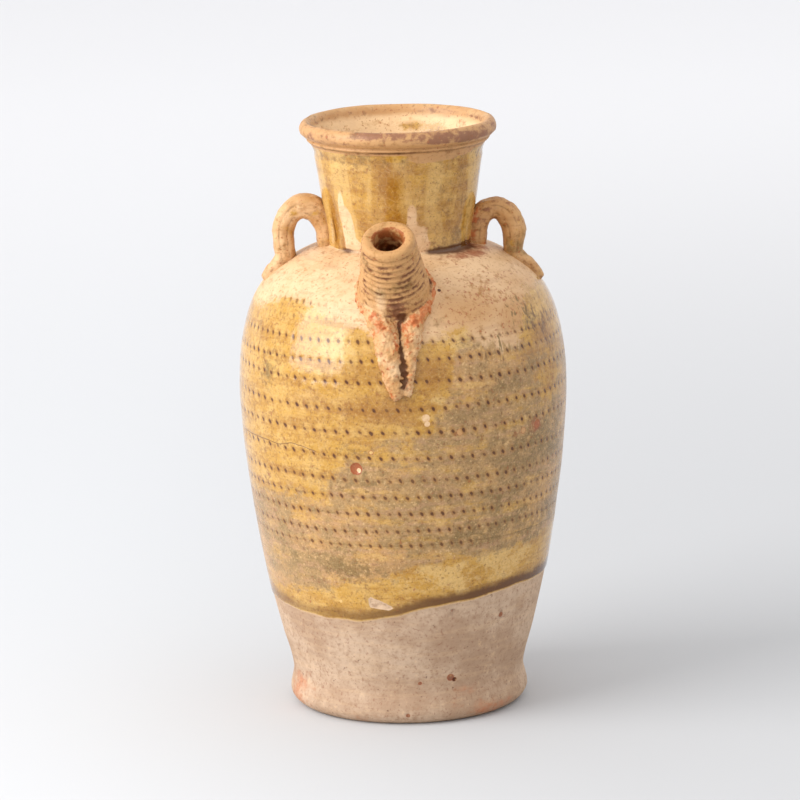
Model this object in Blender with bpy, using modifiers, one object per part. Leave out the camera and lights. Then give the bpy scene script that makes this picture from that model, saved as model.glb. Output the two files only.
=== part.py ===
"""A glazed ewer: one hollow body of fired clay with a rolled rim, a ringed spout and two loop lugs.

The axis of the turned form is Z, the foot stands at Z = 0, the spout faces -Y and the lugs sit at -X and +X.
"""

import math

import bmesh
import bpy
from mathutils import Matrix, Vector

MM = 0.001

# Turned form: radii, and the rise from each level to the next
FOOT_CONTACT_R = 41.2 * MM
FOOT_R = 45.6 * MM
FOOT_RISE = 4.6 * MM
WAIST_R = 44.4 * MM
WAIST_RISE = 8.0 * MM
BELLY_R = 62.4 * MM
BELLY_RISE = 108.4 * MM
NECK_R = 27.3 * MM
SHOULDER_RISE = 56.8 * MM
NECK_TOP_R = 31.7 * MM
NECK_RISE = 33.2 * MM
LIP_RISE = 7.2 * MM
RIM_R = 37.3 * MM
RIM_THICKNESS = 5.0 * MM
RIM_HEIGHT = 6.4 * MM
RIM_RISE = 6.8 * MM

# Walls
BODY_WALL = 5.0 * MM
NECK_WALL = 4.5 * MM
FLOOR_THICKNESS = 8.0 * MM
FLOOR_CORNER_R = 9.0 * MM

# Spout: its seat on the shoulder, its tilt, and its turn to the left of the front
SPOUT_SEAT_R = 47.3 * MM
SPOUT_SEAT_TURN = 3.0
SPOUT_TURN = 8.0
SPOUT_TILT = 55.5
SPOUT_LENGTH = 26.6 * MM
SPOUT_BASE_R = 12.5 * MM
SPOUT_MOUTH_R = 10.2 * MM
SPOUT_BORE_R = 6.3 * MM
SPOUT_LIP_WIDTH = 1.8 * MM
SPOUT_LIP_DROP = 1.6 * MM
SPOUT_ROOT = 7.0 * MM
RING_COUNT = 9
FIRST_RING_DROP = 3.4 * MM
RING_PITCH = 2.4 * MM
RING_DEPTH = 0.55 * MM
GROOVE_WIDTH = 1.5 * MM
BORE_INSIDE = 12.0 * MM

# Clay pressed round the spout, with two fingers of it drawn down the body
LUTING_R = 12.2 * MM
LUTING_THICKNESS = 5.2 * MM
LUTING_HEIGHT = 5.7 * MM
LUTING_SINK = 2.2 * MM
LUTING_LEAN_SHARE = 0.7
FINGER_SINK_SHARE = 0.22

# Loop lugs: a strap of clay from the neck to the shoulder, with a flattened tail
STRAP_THICKNESS = 8.4 * MM
STRAP_WIDTH = 9.8 * MM
STRAP_GROOVE = 0.6 * MM
STRAP_FULLNESS = 2.6
LEFT_LUG_REACH = 17.1 * MM
LEFT_LUG_RISE = 14.2 * MM
RIGHT_LUG_REACH = 16.0 * MM
RIGHT_LUG_RISE = 12.0 * MM
LEFT_LUG_TAIL = 7.8 * MM
RIGHT_LUG_TAIL = 9.3 * MM

# Fineness of the surfaces
BODY_SIDES = 54
SPOUT_SIDES = 24
LUTING_SIDES = 24
LINE_STEPS = 12
LIP_STEPS = 4
RIM_STEPS = 8
CORNER_STEPS = 3
SPOUT_LIP_STEPS = 4
LUTING_STEPS = 5
FINGER_STEPS = 2
PATH_STEPS = 2
OUTER_SAG = 0.16 * MM
LIP_SAG = 0.11 * MM
INNER_SAG = 1.0 * MM
MERGE = 0.00001

# Where the rolled edge's arc starts and ends, and the floor's corner ends, in degrees
RIM_UNDER_TURN = -30
RIM_INNER_TURN = 170
CORNER_TURN = -10

# Places across the strap, as shares of half its thickness, and the two of them that carry a groove
STRAP_ACROSS = (1.0, 0.76, 0.36, 0.0, -0.36, -0.76)
GROOVES_ACROSS = (0.36, -0.36)

# Levels above the table
FOOT_Z = FOOT_RISE
WAIST_Z = FOOT_Z + WAIST_RISE
BELLY_Z = WAIST_Z + BELLY_RISE
NECK_Z = BELLY_Z + SHOULDER_RISE
NECK_TOP_Z = NECK_Z + NECK_RISE
RIM_Z = NECK_TOP_Z + LIP_RISE
TOP_Z = RIM_Z + RIM_RISE

# Free curves of the pot, as (share of the rise, share of the way from one radius to the next)
FOOT_CURVE = ((0.19, 0.40), (0.48, 0.74))
HOLLOW_CURVE = ((0.5, 0.42),)
WALL_CURVE = ((0.055, 0.066), (0.13, 0.2), (0.26, 0.397), (0.42, 0.592), (0.6, 0.767), (0.8, 0.918))
SHOULDER_CURVE = ((0.25, 0.014), (0.46, 0.072), (0.64, 0.172), (0.785, 0.337), (0.9, 0.58), (0.963, 0.785))
NECK_CURVE = ((0.13, -0.01), (0.32, 0.2), (0.52, 0.46), (0.78, 0.735))
LIP_CURVE = ((0.35, 0.16), (0.61, 0.42), (0.78, 0.61), (0.87, 0.93), (0.95, 0.99), (1.03, 0.84), (1.11, 1.29))

# A lug's centre line, as (share of the reach, share of the rise, share of the strap's thickness)
LEFT_LUG_CURVE = (
    (0.02, -0.1, 1.0), (0.03, 0.3, 1.02), (0.07, 0.62, 1.1), (0.2, 0.89, 1.2), (0.4, 1.0, 1.2),
    (0.62, 0.94, 1.13), (0.81, 0.76, 1.08), (0.955, 0.47, 1.04), (0.99, 0.17, 1.02), (0.965, -0.1, 0.99),
    (0.94, -0.32, 0.95),
)
RIGHT_LUG_CURVE = (
    (0.07, -0.15, 1.06), (0.08, 0.3, 1.06), (0.12, 0.66, 1.06), (0.28, 0.93, 1.03), (0.52, 1.01, 1.0),
    (0.78, 0.81, 1.12), (0.94, 0.52, 1.13), (1.0, 0.24, 1.12), (0.98, -0.04, 1.0), (0.96, -0.3, 0.88),
    (0.99, -0.5, 0.84),
)

# Its tail, as (share of the tail's length, how far it is sunk as a share of half the thickness, thickness)
LUG_TAIL_CURVE = ((0.38, 0.12, 0.84), (0.7, 0.2, 0.74), (1.0, 0.42, 0.6))

# The fingers of clay below the spout, as (offset to the right, depth below the seat, half width)
LEFT_FINGER = ((-8.2, 5.5, 4.6), (-6.0, 11.0, 5.0), (-3.6, 16.5, 4.7), (-2.6, 21.0, 4.2), (-1.9, 26.0, 3.6),
               (-0.6, 30.5, 2.8), (0.1, 35.0, 2.4), (0.6, 37.6, 1.5))
RIGHT_FINGER = ((10.2, 6.0, 3.4), (8.2, 11.0, 4.1), (6.5, 16.0, 3.9), (5.2, 21.5, 2.8), (4.8, 27.0, 2.1),
                (4.2, 32.5, 1.6), (3.6, 36.2, 1.1))


def smooth_curve(points, steps):
    """A smooth curve through every point, with that many steps between two of them."""
    spans = [math.dist(a, b) ** 0.5 for a, b in zip(points, points[1:])]
    axes = range(len(points[0]))
    rates = [[(b[k] - a[k]) / span for k in axes] for a, b, span in zip(points, points[1:], spans)]
    slopes = [rates[0]]
    for i in range(1, len(points) - 1):
        before = spans[i - 1]
        after = spans[i]
        slopes.append([(rates[i - 1][k] * after + rates[i][k] * before) / (before + after) for k in axes])
    slopes.append(rates[-1])
    curve = []
    for i, span in enumerate(spans):
        for step in range(steps):
            t = step / steps
            rest = 1 - t
            start = (1 + 2 * t) * rest * rest
            leave = t * rest * rest * span
            end = t * t * (3 - 2 * t)
            arrive = -t * t * rest * span
            curve.append(tuple(
                start * points[i][k] + leave * slopes[i][k]
                + end * points[i + 1][k] + arrive * slopes[i + 1][k]
                for k in axes
            ))
    curve.append(tuple(points[-1]))
    return curve


def thinned(points, sag):
    """The same line with only the points that keep it within sag of the full one."""
    first = Vector(points[0])
    last = Vector(points[-1])
    way = last - first
    far = 0.0
    where = 0
    for i in range(1, len(points) - 1):
        from_first = Vector(points[i]) - first
        along = max(0.0, min(1.0, from_first.dot(way) / way.length_squared))
        off = (from_first - along * way).length
        if off > far:
            far = off
            where = i
    if far <= sag:
        return [points[0], points[-1]]
    return thinned(points[:where + 1], sag)[:-1] + thinned(points[where:], sag)


def between(low, high, shares):
    """Points from low to high, each a share of the rise and a share of the change of radius."""
    return [(low[0] + (high[0] - low[0]) * out, low[1] + (high[1] - low[1]) * up) for up, out in shares]


def arc(centre, radii, start, end, steps):
    """An elliptical arc in the plane of the profile, its angles in degrees."""
    turns = [math.radians(start + (end - start) * i / steps) for i in range(steps + 1)]
    return [(centre[0] + radii[0] * math.cos(t), centre[1] + radii[1] * math.sin(t)) for t in turns]


def body_line():
    """The outer line of foot, belly and shoulder, from the table up to the neck."""
    contact = (FOOT_CONTACT_R, 0.0)
    foot = (FOOT_R, FOOT_Z)
    waist = (WAIST_R, WAIST_Z)
    belly = (BELLY_R, BELLY_Z)
    neck = (NECK_R, NECK_Z)
    points = [contact] + between(contact, foot, FOOT_CURVE) + [foot] + between(foot, waist, HOLLOW_CURVE)
    points += [waist] + between(waist, belly, WALL_CURVE) + [belly] + between(belly, neck, SHOULDER_CURVE)
    return smooth_curve(points + [neck], LINE_STEPS)


def neck_line():
    """The outer line of the neck, from the shoulder up to the lip."""
    neck = (NECK_R, NECK_Z)
    top = (NECK_TOP_R, NECK_TOP_Z)
    return smooth_curve([neck] + between(neck, top, NECK_CURVE) + [top], LINE_STEPS)


def lip_line():
    """The flared underside of the rim, with the thin ridge just below the rolled edge."""
    top = (NECK_TOP_R, NECK_TOP_Z)
    under = (RIM_R - RIM_THICKNESS / 2, RIM_Z)
    return smooth_curve([top] + between(top, under, LIP_CURVE), LIP_STEPS)


def rim_line():
    """The rolled edge, over its top to the inside of the mouth."""
    centre = (RIM_R - RIM_THICKNESS / 2, TOP_Z - RIM_HEIGHT / 2)
    return arc(centre, (RIM_THICKNESS / 2, RIM_HEIGHT / 2), RIM_UNDER_TURN, RIM_INNER_TURN, RIM_STEPS)


def inset(line, depth):
    """The line moved into the clay by depth, square to itself."""
    moved = []
    for i, (radius, height) in enumerate(line):
        before = line[max(i - 1, 0)]
        after = line[min(i + 1, len(line) - 1)]
        along = Vector((after[0] - before[0], after[1] - before[1])).normalized()
        moved.append((radius - along.y * depth, height + along.x * depth))
    return moved


def cavity_line(body_depth, neck_depth, floor):
    """A line inside the clay, from the axis at the floor up to the top of the neck."""
    wall = [p for p in inset(body_line(), body_depth) if p[1] > floor + FLOOR_CORNER_R]
    corner = (wall[0][0] - FLOOR_CORNER_R, floor + FLOOR_CORNER_R)
    line = [(0.0, floor)] + arc(corner, (FLOOR_CORNER_R, FLOOR_CORNER_R), -90, CORNER_TURN, CORNER_STEPS)
    return line + thinned(wall, INNER_SAG) + thinned(inset(neck_line(), neck_depth), INNER_SAG)


def collection_named(name):
    made = bpy.data.collections.new(name)
    bpy.context.scene.collection.children.link(made)
    return made


def clay_material():
    """Honey glaze over buff stoneware."""
    material = bpy.data.materials.new("honey_glazed_stoneware")
    material.use_nodes = True
    shader = material.node_tree.nodes["Principled BSDF"]
    shader.inputs["Base Color"].default_value = (0.46, 0.27, 0.085, 1.0)
    shader.inputs["Roughness"].default_value = 0.32
    shader.inputs["Metallic"].default_value = 0.0
    return material


def turned(name, line, sides, collection):
    """A solid of revolution about Z: the line runs down its outer side, from the axis back to the axis.

    It starts half a facet round from +X, so that a lug meets the middle of a facet.
    """
    half = math.pi / sides
    mesh = bpy.data.meshes.new(name)
    form = bmesh.new()
    vertices = [form.verts.new((r * math.cos(half), r * math.sin(half), height)) for r, height in line]
    for a, b in zip(vertices, vertices[1:]):
        form.edges.new((a, b))
    form.to_mesh(mesh)
    form.free()
    made = bpy.data.objects.new(name, mesh)
    collection.objects.link(made)
    screw = made.modifiers.new("Turning", "SCREW")
    screw.axis = "Z"
    screw.angle = math.radians(360)
    screw.steps = sides
    screw.render_steps = sides
    screw.use_merge_vertices = True
    screw.merge_threshold = MERGE
    screw.use_smooth_shade = True
    return made


def boolean(made, operation, other):
    """Joins the other form to this one, or cuts it away."""
    modifier = made.modifiers.new(f"{operation.title()} {other.name}", "BOOLEAN")
    modifier.operation = operation
    modifier.solver = "EXACT"
    modifier.object = other


def hidden(made):
    """A form that only joins or cuts another."""
    made.hide_render = True
    made.display_type = "WIRE"
    return made


def solid_of_curve(curve, collection):
    """The curve object made a closed mesh in its own place, and the curve removed."""
    bpy.context.view_layer.update()
    graph = bpy.context.evaluated_depsgraph_get()
    mesh = bpy.data.meshes.new_from_object(curve.evaluated_get(graph))
    form = bmesh.new()
    form.from_mesh(mesh)
    bmesh.ops.remove_doubles(form, verts=form.verts, dist=MERGE)
    bmesh.ops.recalc_face_normals(form, faces=form.faces)
    form.to_mesh(mesh)
    form.free()
    name = curve.name
    place = curve.matrix_world.copy()
    bpy.data.objects.remove(curve)
    made = bpy.data.objects.new(name, mesh)
    made.matrix_world = place
    collection.objects.link(made)
    return hidden(made)


def curve_through(name, points, shares, collection):
    """A curve object through the points, its thickness at each one a share of the full one."""
    data = bpy.data.curves.new(name, "CURVE")
    data.dimensions = "3D"
    data.use_fill_caps = True
    data.twist_mode = "MINIMUM"
    spline = data.splines.new("POLY")
    spline.points.add(len(points) - 1)
    for spot, place, share in zip(spline.points, points, shares):
        spot.co = (*place, 1.0)
        spot.radius = share
    made = bpy.data.objects.new(name, data)
    collection.objects.link(made)
    return made


def radius_at(line, height):
    """The radius of a rising line at this height."""
    for (r0, z0), (r1, z1) in zip(line, line[1:]):
        if z0 <= height <= z1:
            return r0 + (r1 - r0) * (height - z0) / max(z1 - z0, 1e-9)
    return line[-1][0]


def height_at(radius):
    """The height of the shoulder at this radius."""
    shoulder = [p for p in body_line() if p[1] >= BELLY_Z]
    for (r0, z0), (r1, z1) in zip(shoulder, shoulder[1:]):
        if r1 <= radius <= r0:
            return z0 + (z1 - z0) * (r0 - radius) / max(r0 - r1, 1e-9)
    return NECK_Z


def seat_point():
    turn = math.radians(SPOUT_SEAT_TURN)
    return Vector((-SPOUT_SEAT_R * math.sin(turn), -SPOUT_SEAT_R * math.cos(turn), height_at(SPOUT_SEAT_R)))


def aimed(turn, tilt):
    """A direction this far to the left of the front and this far above level, in degrees."""
    level = math.cos(math.radians(tilt))
    side = -math.sin(math.radians(turn)) * level
    return Vector((side, -math.cos(math.radians(turn)) * level, math.sin(math.radians(tilt))))


def spout_frame(direction):
    """The matrix that stands a form made along Z on the spout's seat, along direction."""
    return Matrix.Translation(seat_point()) @ direction.to_track_quat("Z", "Y").to_matrix().to_4x4()


def spout_radius(along):
    return SPOUT_BASE_R + (SPOUT_MOUTH_R - SPOUT_BASE_R) * max(along, 0.0) / SPOUT_LENGTH


def spout_line():
    """The tube's outer line, from the lip down over the throwing rings to the root in the wall."""
    lip = (SPOUT_LIP_WIDTH, SPOUT_LIP_DROP)
    line = [(0.0, SPOUT_LENGTH)]
    line += arc((SPOUT_MOUTH_R - lip[0], SPOUT_LENGTH - lip[1]), lip, 90, 0, SPOUT_LIP_STEPS)
    for ring in range(RING_COUNT):
        middle = SPOUT_LENGTH - FIRST_RING_DROP - ring * RING_PITCH
        line.append((spout_radius(middle), middle + GROOVE_WIDTH / 2))
        line.append((spout_radius(middle) - RING_DEPTH, middle))
        line.append((spout_radius(middle), middle - GROOVE_WIDTH / 2))
    return line + [(SPOUT_BASE_R, -SPOUT_ROOT), (0.0, -SPOUT_ROOT)]


def make_spout(core, collection):
    spout = hidden(turned("spout_tube", spout_line(), SPOUT_SIDES, collection))
    spout.matrix_world = spout_frame(aimed(SPOUT_TURN, SPOUT_TILT))
    boolean(spout, "DIFFERENCE", core)
    return spout


def make_bore(collection):
    """The round hole from the mouth of the spout into the body."""
    bpy.ops.mesh.primitive_cylinder_add(vertices=SPOUT_SIDES, radius=SPOUT_BORE_R, depth=1.0)
    bore = bpy.context.object
    bore.name = "spout_bore"
    for owner in list(bore.users_collection):
        owner.objects.unlink(bore)
    collection.objects.link(bore)
    top = SPOUT_LENGTH + BORE_INSIDE
    bottom = -BORE_INSIDE - SPOUT_ROOT
    stretch = Matrix.Diagonal((1, 1, top - bottom, 1))
    bore.data.transform(Matrix.Translation((0, 0, (top + bottom) / 2)) @ stretch)
    bore.matrix_world = spout_frame(aimed(SPOUT_TURN, SPOUT_TILT))
    return hidden(bore)


def make_luting(core, collection):
    """The uneven roll of clay round the foot of the spout."""
    normal = aimed(SPOUT_SEAT_TURN, shoulder_tilt())
    line = arc((LUTING_R, 0.0), (LUTING_THICKNESS / 2, LUTING_HEIGHT / 2), 90, -90, LUTING_STEPS)
    line = [(0.0, line[0][1])] + line + [(0.0, line[-1][1])]
    luting = hidden(turned("spout_luting", line, LUTING_SIDES, collection))
    luting.matrix_world = spout_frame(normal) @ Matrix.Translation((0, 0, -LUTING_SINK))
    boolean(luting, "DIFFERENCE", core)
    return luting


def shoulder_tilt():
    """How far the shoulder's face looks up under the spout, in degrees."""
    near = SPOUT_SEAT_R - SPOUT_BASE_R
    far = SPOUT_SEAT_R + SPOUT_BASE_R * LUTING_LEAN_SHARE
    fall = height_at(near) - height_at(far)
    return math.degrees(math.atan2(far - near, fall))


def make_finger(name, path, core, collection):
    """A finger of clay that lies on the body below the spout, half sunk in it."""
    body = body_line()
    places = []
    widths = []
    for offset, depth, half in smooth_curve(path, PATH_STEPS):
        height = height_at(SPOUT_SEAT_R) - depth * MM
        side = seat_point().x + offset * MM
        radius = radius_at(body, height) - FINGER_SINK_SHARE * half * MM
        places.append((side, -math.sqrt(radius * radius - side * side), height))
        widths.append(half)
    curve = curve_through(name, places, widths, collection)
    curve.data.bevel_depth = MM
    curve.data.bevel_resolution = FINGER_STEPS
    finger = solid_of_curve(curve, collection)
    boolean(finger, "DIFFERENCE", core)
    return finger


def strap_section(collection):
    """The strap's cross-section: an oval with two lengthwise grooves on each broad face."""
    data = bpy.data.curves.new("strap_section", "CURVE")
    data.dimensions = "2D"
    spline = data.splines.new("POLY")
    spline.use_cyclic_u = True
    rounds = [(u, 1) for u in STRAP_ACROSS] + [(-u, -1) for u in STRAP_ACROSS]
    spline.points.add(len(rounds) - 1)
    for spot, (u, side) in zip(spline.points, rounds):
        width = math.sqrt(1 - abs(u) ** STRAP_FULLNESS) * STRAP_WIDTH / 2
        if u in GROOVES_ACROSS:
            width -= STRAP_GROOVE
        spot.co = (side * width, u * STRAP_THICKNESS / 2, 0.0, 1.0)
    made = bpy.data.objects.new("strap_section", data)
    collection.objects.link(made)
    return hidden(made)


def lug_path(side, reach, rise, tail, shares):
    """The strap's centre line, from low on the neck over the arch and down to its tail on the shoulder."""
    neck = neck_line()
    line = []
    for out, up, thick in shares:
        height = NECK_Z + up * rise
        root = radius_at(neck, max(height, NECK_Z))
        line.append((root + out * reach, height, thick * STRAP_THICKNESS))
    foot = line[-1][0]
    for along, sink, thick in LUG_TAIL_CURVE:
        radius = foot + along * tail
        depth = sink * thick * STRAP_THICKNESS / 2
        line.append((radius, height_at(radius) - depth, thick * STRAP_THICKNESS))
    path = smooth_curve(line, PATH_STEPS)
    return [((side * radius, 0.0, height), thickness / STRAP_THICKNESS) for radius, height, thickness in path]


def make_lug(name, path, section, core, collection):
    curve = curve_through(name, [place for place, _ in path], [thick for _, thick in path], collection)
    curve.data.bevel_mode = "OBJECT"
    curve.data.bevel_object = section
    lug = solid_of_curve(curve, collection)
    boolean(lug, "DIFFERENCE", core)
    return lug


def make_core(collection):
    """A solid that fills the pot to the middle of its wall, where the joined pieces end."""
    line = cavity_line(BODY_WALL / 2, NECK_WALL / 2, FLOOR_THICKNESS / 2)
    line = line + [(0.0, line[-1][1])]
    return hidden(turned("wall_core", line[::-1], BODY_SIDES, collection))


def make_ewer():
    shown = collection_named("glazed_ewer")
    helpers = collection_named("cutters")
    inside = cavity_line(BODY_WALL, NECK_WALL, FLOOR_THICKNESS)
    outside = rim_line()[::-1] + thinned(lip_line(), LIP_SAG)[::-1]
    outside += thinned(neck_line(), OUTER_SAG)[-2::-1] + thinned(body_line(), OUTER_SAG)[-2::-1]
    ewer = turned("ewer", inside + outside + [(0.0, 0.0)], BODY_SIDES, shown)
    core = make_core(helpers)
    section = strap_section(helpers)
    left_path = lug_path(-1, LEFT_LUG_REACH, LEFT_LUG_RISE, LEFT_LUG_TAIL, LEFT_LUG_CURVE)
    right_path = lug_path(1, RIGHT_LUG_REACH, RIGHT_LUG_RISE, RIGHT_LUG_TAIL, RIGHT_LUG_CURVE)
    joined = [
        make_luting(core, helpers),
        make_finger("left_finger", LEFT_FINGER, core, helpers),
        make_finger("right_finger", RIGHT_FINGER, core, helpers),
        make_spout(core, helpers),
        make_lug("left_lug", left_path, section, core, helpers),
        make_lug("right_lug", right_path, section, core, helpers),
    ]
    for piece in joined:
        boolean(ewer, "UNION", piece)
    boolean(ewer, "DIFFERENCE", make_bore(helpers))
    ewer.data.materials.append(clay_material())


def main():
    for old in list(bpy.data.objects):
        bpy.data.objects.remove(old, do_unlink=True)
    make_ewer()


main()
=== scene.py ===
import math

import bmesh
import bpy
import numpy as np
from mathutils import Matrix, Vector, noise


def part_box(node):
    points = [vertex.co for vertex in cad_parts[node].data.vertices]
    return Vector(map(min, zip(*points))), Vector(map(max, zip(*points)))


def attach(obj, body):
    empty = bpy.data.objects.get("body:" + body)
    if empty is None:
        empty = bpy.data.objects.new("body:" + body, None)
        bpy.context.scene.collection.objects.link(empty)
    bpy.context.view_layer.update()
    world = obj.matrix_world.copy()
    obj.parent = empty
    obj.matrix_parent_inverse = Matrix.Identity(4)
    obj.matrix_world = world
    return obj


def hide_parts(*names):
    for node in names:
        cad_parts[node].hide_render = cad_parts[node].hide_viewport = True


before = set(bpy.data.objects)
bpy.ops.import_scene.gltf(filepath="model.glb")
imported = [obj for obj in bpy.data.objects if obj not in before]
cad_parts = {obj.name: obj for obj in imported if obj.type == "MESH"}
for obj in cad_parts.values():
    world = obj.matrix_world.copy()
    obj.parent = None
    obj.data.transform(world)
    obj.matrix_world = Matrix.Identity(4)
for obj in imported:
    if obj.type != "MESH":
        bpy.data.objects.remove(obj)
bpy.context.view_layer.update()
lowCorner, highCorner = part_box("ewer")
mm = 0.001
boxRoom = 0.02  # millimetres that the pressed clay keeps inside the solid's box
print("frame loaded")


# Curves and small helpers

def smoothCurve(points, steps):
    # a smooth curve through every point, with that many steps between two of them
    spans = [math.dist(a, b) ** 0.5 for a, b in zip(points, points[1:])]
    axes = range(len(points[0]))
    rates = [[(b[k] - a[k]) / span for k in axes] for a, b, span in zip(points, points[1:], spans)]
    slopes = [rates[0]]
    for i in range(1, len(points) - 1):
        before, after = spans[i - 1], spans[i]
        slopes.append([(rates[i - 1][k] * after + rates[i][k] * before) / (before + after) for k in axes])
    slopes.append(rates[-1])
    curve = []
    for i, span in enumerate(spans):
        for step in range(steps):
            t = step / steps
            start = (1 + 2 * t) * (1 - t) ** 2
            leave = t * (1 - t) ** 2 * span
            arrive = -t * t * (1 - t) * span
            curve.append(tuple(
                start * points[i][k] + leave * slopes[i][k]
                + (1 - start) * points[i + 1][k] + arrive * slopes[i + 1][k]
                for k in axes
            ))
    curve.append(tuple(points[-1]))
    return curve


def between(low, high, shares):
    # points from low to high, each a share of the rise and a share of the change of radius
    return [(low[0] + (high[0] - low[0]) * out, low[1] + (high[1] - low[1]) * up) for up, out in shares]


def arc(centre, radii, start, end, steps):
    turns = [math.radians(start + (end - start) * i / steps) for i in range(steps + 1)]
    return [(centre[0] + radii[0] * math.cos(t), centre[1] + radii[1] * math.sin(t)) for t in turns]


def lumps(points, size, seed=0.0):
    # smooth noise from -1 to 1 over points in millimetres, with lumps of about that size
    shift = Vector((seed, seed * 1.7, -seed))
    return np.array([noise.noise(Vector(p) / size + shift) for p in points])


def turnOf(points):
    # degrees round from the front, to the right
    return np.degrees(np.arctan2(points[:, 0], -points[:, 1]))


def radiusOf(points):
    return np.hypot(points[:, 0], points[:, 1])


def vertexValues(mesh, what):
    # the place ("co") or the "normal" of every vertex
    values = np.empty(len(mesh.vertices) * 3, np.float32)
    mesh.vertices.foreach_get(what, values)
    return values.reshape(-1, 3).astype(float)


def giveMasks(mesh, **masks):
    # values that the materials read, one to a vertex
    for name, values in masks.items():
        layer = mesh.attributes.new(name, "FLOAT", "POINT")
        layer.data.foreach_set("value", np.broadcast_to(values, len(mesh.vertices)).astype(np.float32))


def meshOf(form, name, merge=0.0):
    # the form as a mesh; doubles within that many millimetres are merged and the normals made to agree
    if merge:
        bmesh.ops.remove_doubles(form, verts=form.verts, dist=merge * mm)
        bmesh.ops.recalc_face_normals(form, faces=form.faces)
    mesh = bpy.data.meshes.new(name)
    form.to_mesh(mesh)
    form.free()
    return mesh


def turnedRound(form, steps):
    # the form's line turned once round Z
    bmesh.ops.spin(form, geom=form.verts[:] + form.edges[:], cent=(0, 0, 0), axis=(0, 0, 1), dvec=(0, 0, 0),
                   angle=math.radians(360), steps=steps, use_merge=True)


def setPoints(mesh, points):
    mesh.vertices.foreach_set("co", (points * mm).astype(np.float32).ravel())
    mesh.update()


def newObject(name, mesh):
    made = bpy.data.objects.new(name, mesh)
    bpy.context.scene.collection.objects.link(made)
    return made


def appliedMesh(made):
    # the object's mesh with its modifiers applied
    bpy.context.view_layer.update()
    graph = bpy.context.evaluated_depsgraph_get()
    return bpy.data.meshes.new_from_object(made.evaluated_get(graph))


def smoothStep(values, low, high):
    t = np.clip((values - low) / (high - low), 0.0, 1.0)
    return t * t * (3 - 2 * t)


def bell(values, middle, spread):
    # 1 at the middle, falling off on both sides of it
    return np.exp(-((values - middle) / spread) ** 2)


def patches(turn, height, radius, places):
    # soft round patches: turn in degrees, height, half width and half height in millimetres, strength
    total = np.zeros(len(turn))
    for at, level, wide, tall, strength in places:
        across = np.radians((turn - at + 180) % 360 - 180) * radius
        far = (across / wide) ** 2 + ((height - level) / tall) ** 2
        total = np.maximum(total, strength * np.exp(-far))
    return total


# The turned form, in millimetres above the table

ewerForm = {
    "footContact": 41.2,
    "foot": (45.6, 4.6),
    "waist": (44.4, 12.6),
    "belly": (highCorner.y / mm - 0.15, 121.0),
    "neck": (27.3, 177.8),
    "neckTop": (31.7, 211.0),
    "rimRadius": 37.3,
    "rimUnder": 218.2,
    "rimThick": 5.0,
    "rimTall": 6.4,
    "top": highCorner.z / mm,
    "bodyWall": 5.0,
    "neckWall": 4.5,
    "floor": 8.0,
    "floorCorner": 9.0,
    "columns": 456,
}
footCurve = ((0.19, 0.40), (0.48, 0.74))
hollowCurve = ((0.5, 0.42),)
wallCurve = ((0.055, 0.066), (0.13, 0.2), (0.26, 0.397), (0.42, 0.592), (0.6, 0.767), (0.8, 0.918))
shoulderCurve = ((0.25, 0.014), (0.46, 0.072), (0.64, 0.172), (0.785, 0.337), (0.9, 0.58), (0.963, 0.785))
neckCurve = ((0.13, -0.01), (0.32, 0.2), (0.52, 0.46), (0.78, 0.735))
lipCurve = ((0.35, 0.16), (0.61, 0.42), (0.78, 0.61), (0.87, 0.93), (0.95, 0.99), (1.03, 0.84), (1.11, 1.29))


def outerLines():
    # the outer lines of the body and of the neck as (radius, height)
    form = ewerForm
    contact = (form["footContact"], 0.0)
    foot, waist, belly, neck = form["foot"], form["waist"], form["belly"], form["neck"]
    points = [contact] + between(contact, foot, footCurve) + [foot] + between(foot, waist, hollowCurve)
    points += [waist] + between(waist, belly, wallCurve) + [belly] + between(belly, neck, shoulderCurve)
    body = smoothCurve(points + [neck], 24)
    top = form["neckTop"]
    return np.array(body), np.array(smoothCurve([neck] + between(neck, top, neckCurve) + [top], 12))


bodyLine, neckLine = outerLines()


def bodyRadius(height):
    return np.interp(height, bodyLine[:, 1], bodyLine[:, 0])


def shoulderHeight(radius):
    shoulder = bodyLine[bodyLine[:, 1] >= ewerForm["belly"][1]][::-1]
    return float(np.interp(radius, shoulder[:, 0], shoulder[:, 1]))


def claySurface(radius, height):
    # depth below the outer surface and the way out, for points given as radius and height
    line = np.vstack([bodyLine[::6], neckLine[1::3]])
    best = np.full(len(radius), 1e9)
    depth = np.zeros(len(radius))
    out = np.zeros((len(radius), 2))
    for a, b in zip(line, line[1:]):
        way = b - a
        length = math.hypot(*way)
        along = np.clip(((radius - a[0]) * way[0] + (height - a[1]) * way[1]) / length ** 2, 0, 1)
        gapR = radius - a[0] - along * way[0]
        gapZ = height - a[1] - along * way[1]
        far = np.hypot(gapR, gapZ)
        side = (gapR * way[1] - gapZ * way[0]) / length
        near = far < best
        best[near] = far[near]
        depth[near] = np.where(side > 0, -far, far)[near]
        out[near] = (way[1] / length, -way[0] / length)
    return depth, out


def keptShallow(points, most):
    # clay pressed on the pot reaches no deeper into its wall than that
    radius = radiusOf(points)
    depth, out = claySurface(radius, points[:, 2])
    push = np.maximum(depth - most, 0)
    points[:, :2] += (push * out[:, 0] / radius)[:, None] * points[:, :2]
    points[:, 2] += push * out[:, 1]


# Rows of dots pressed round the body

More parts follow.
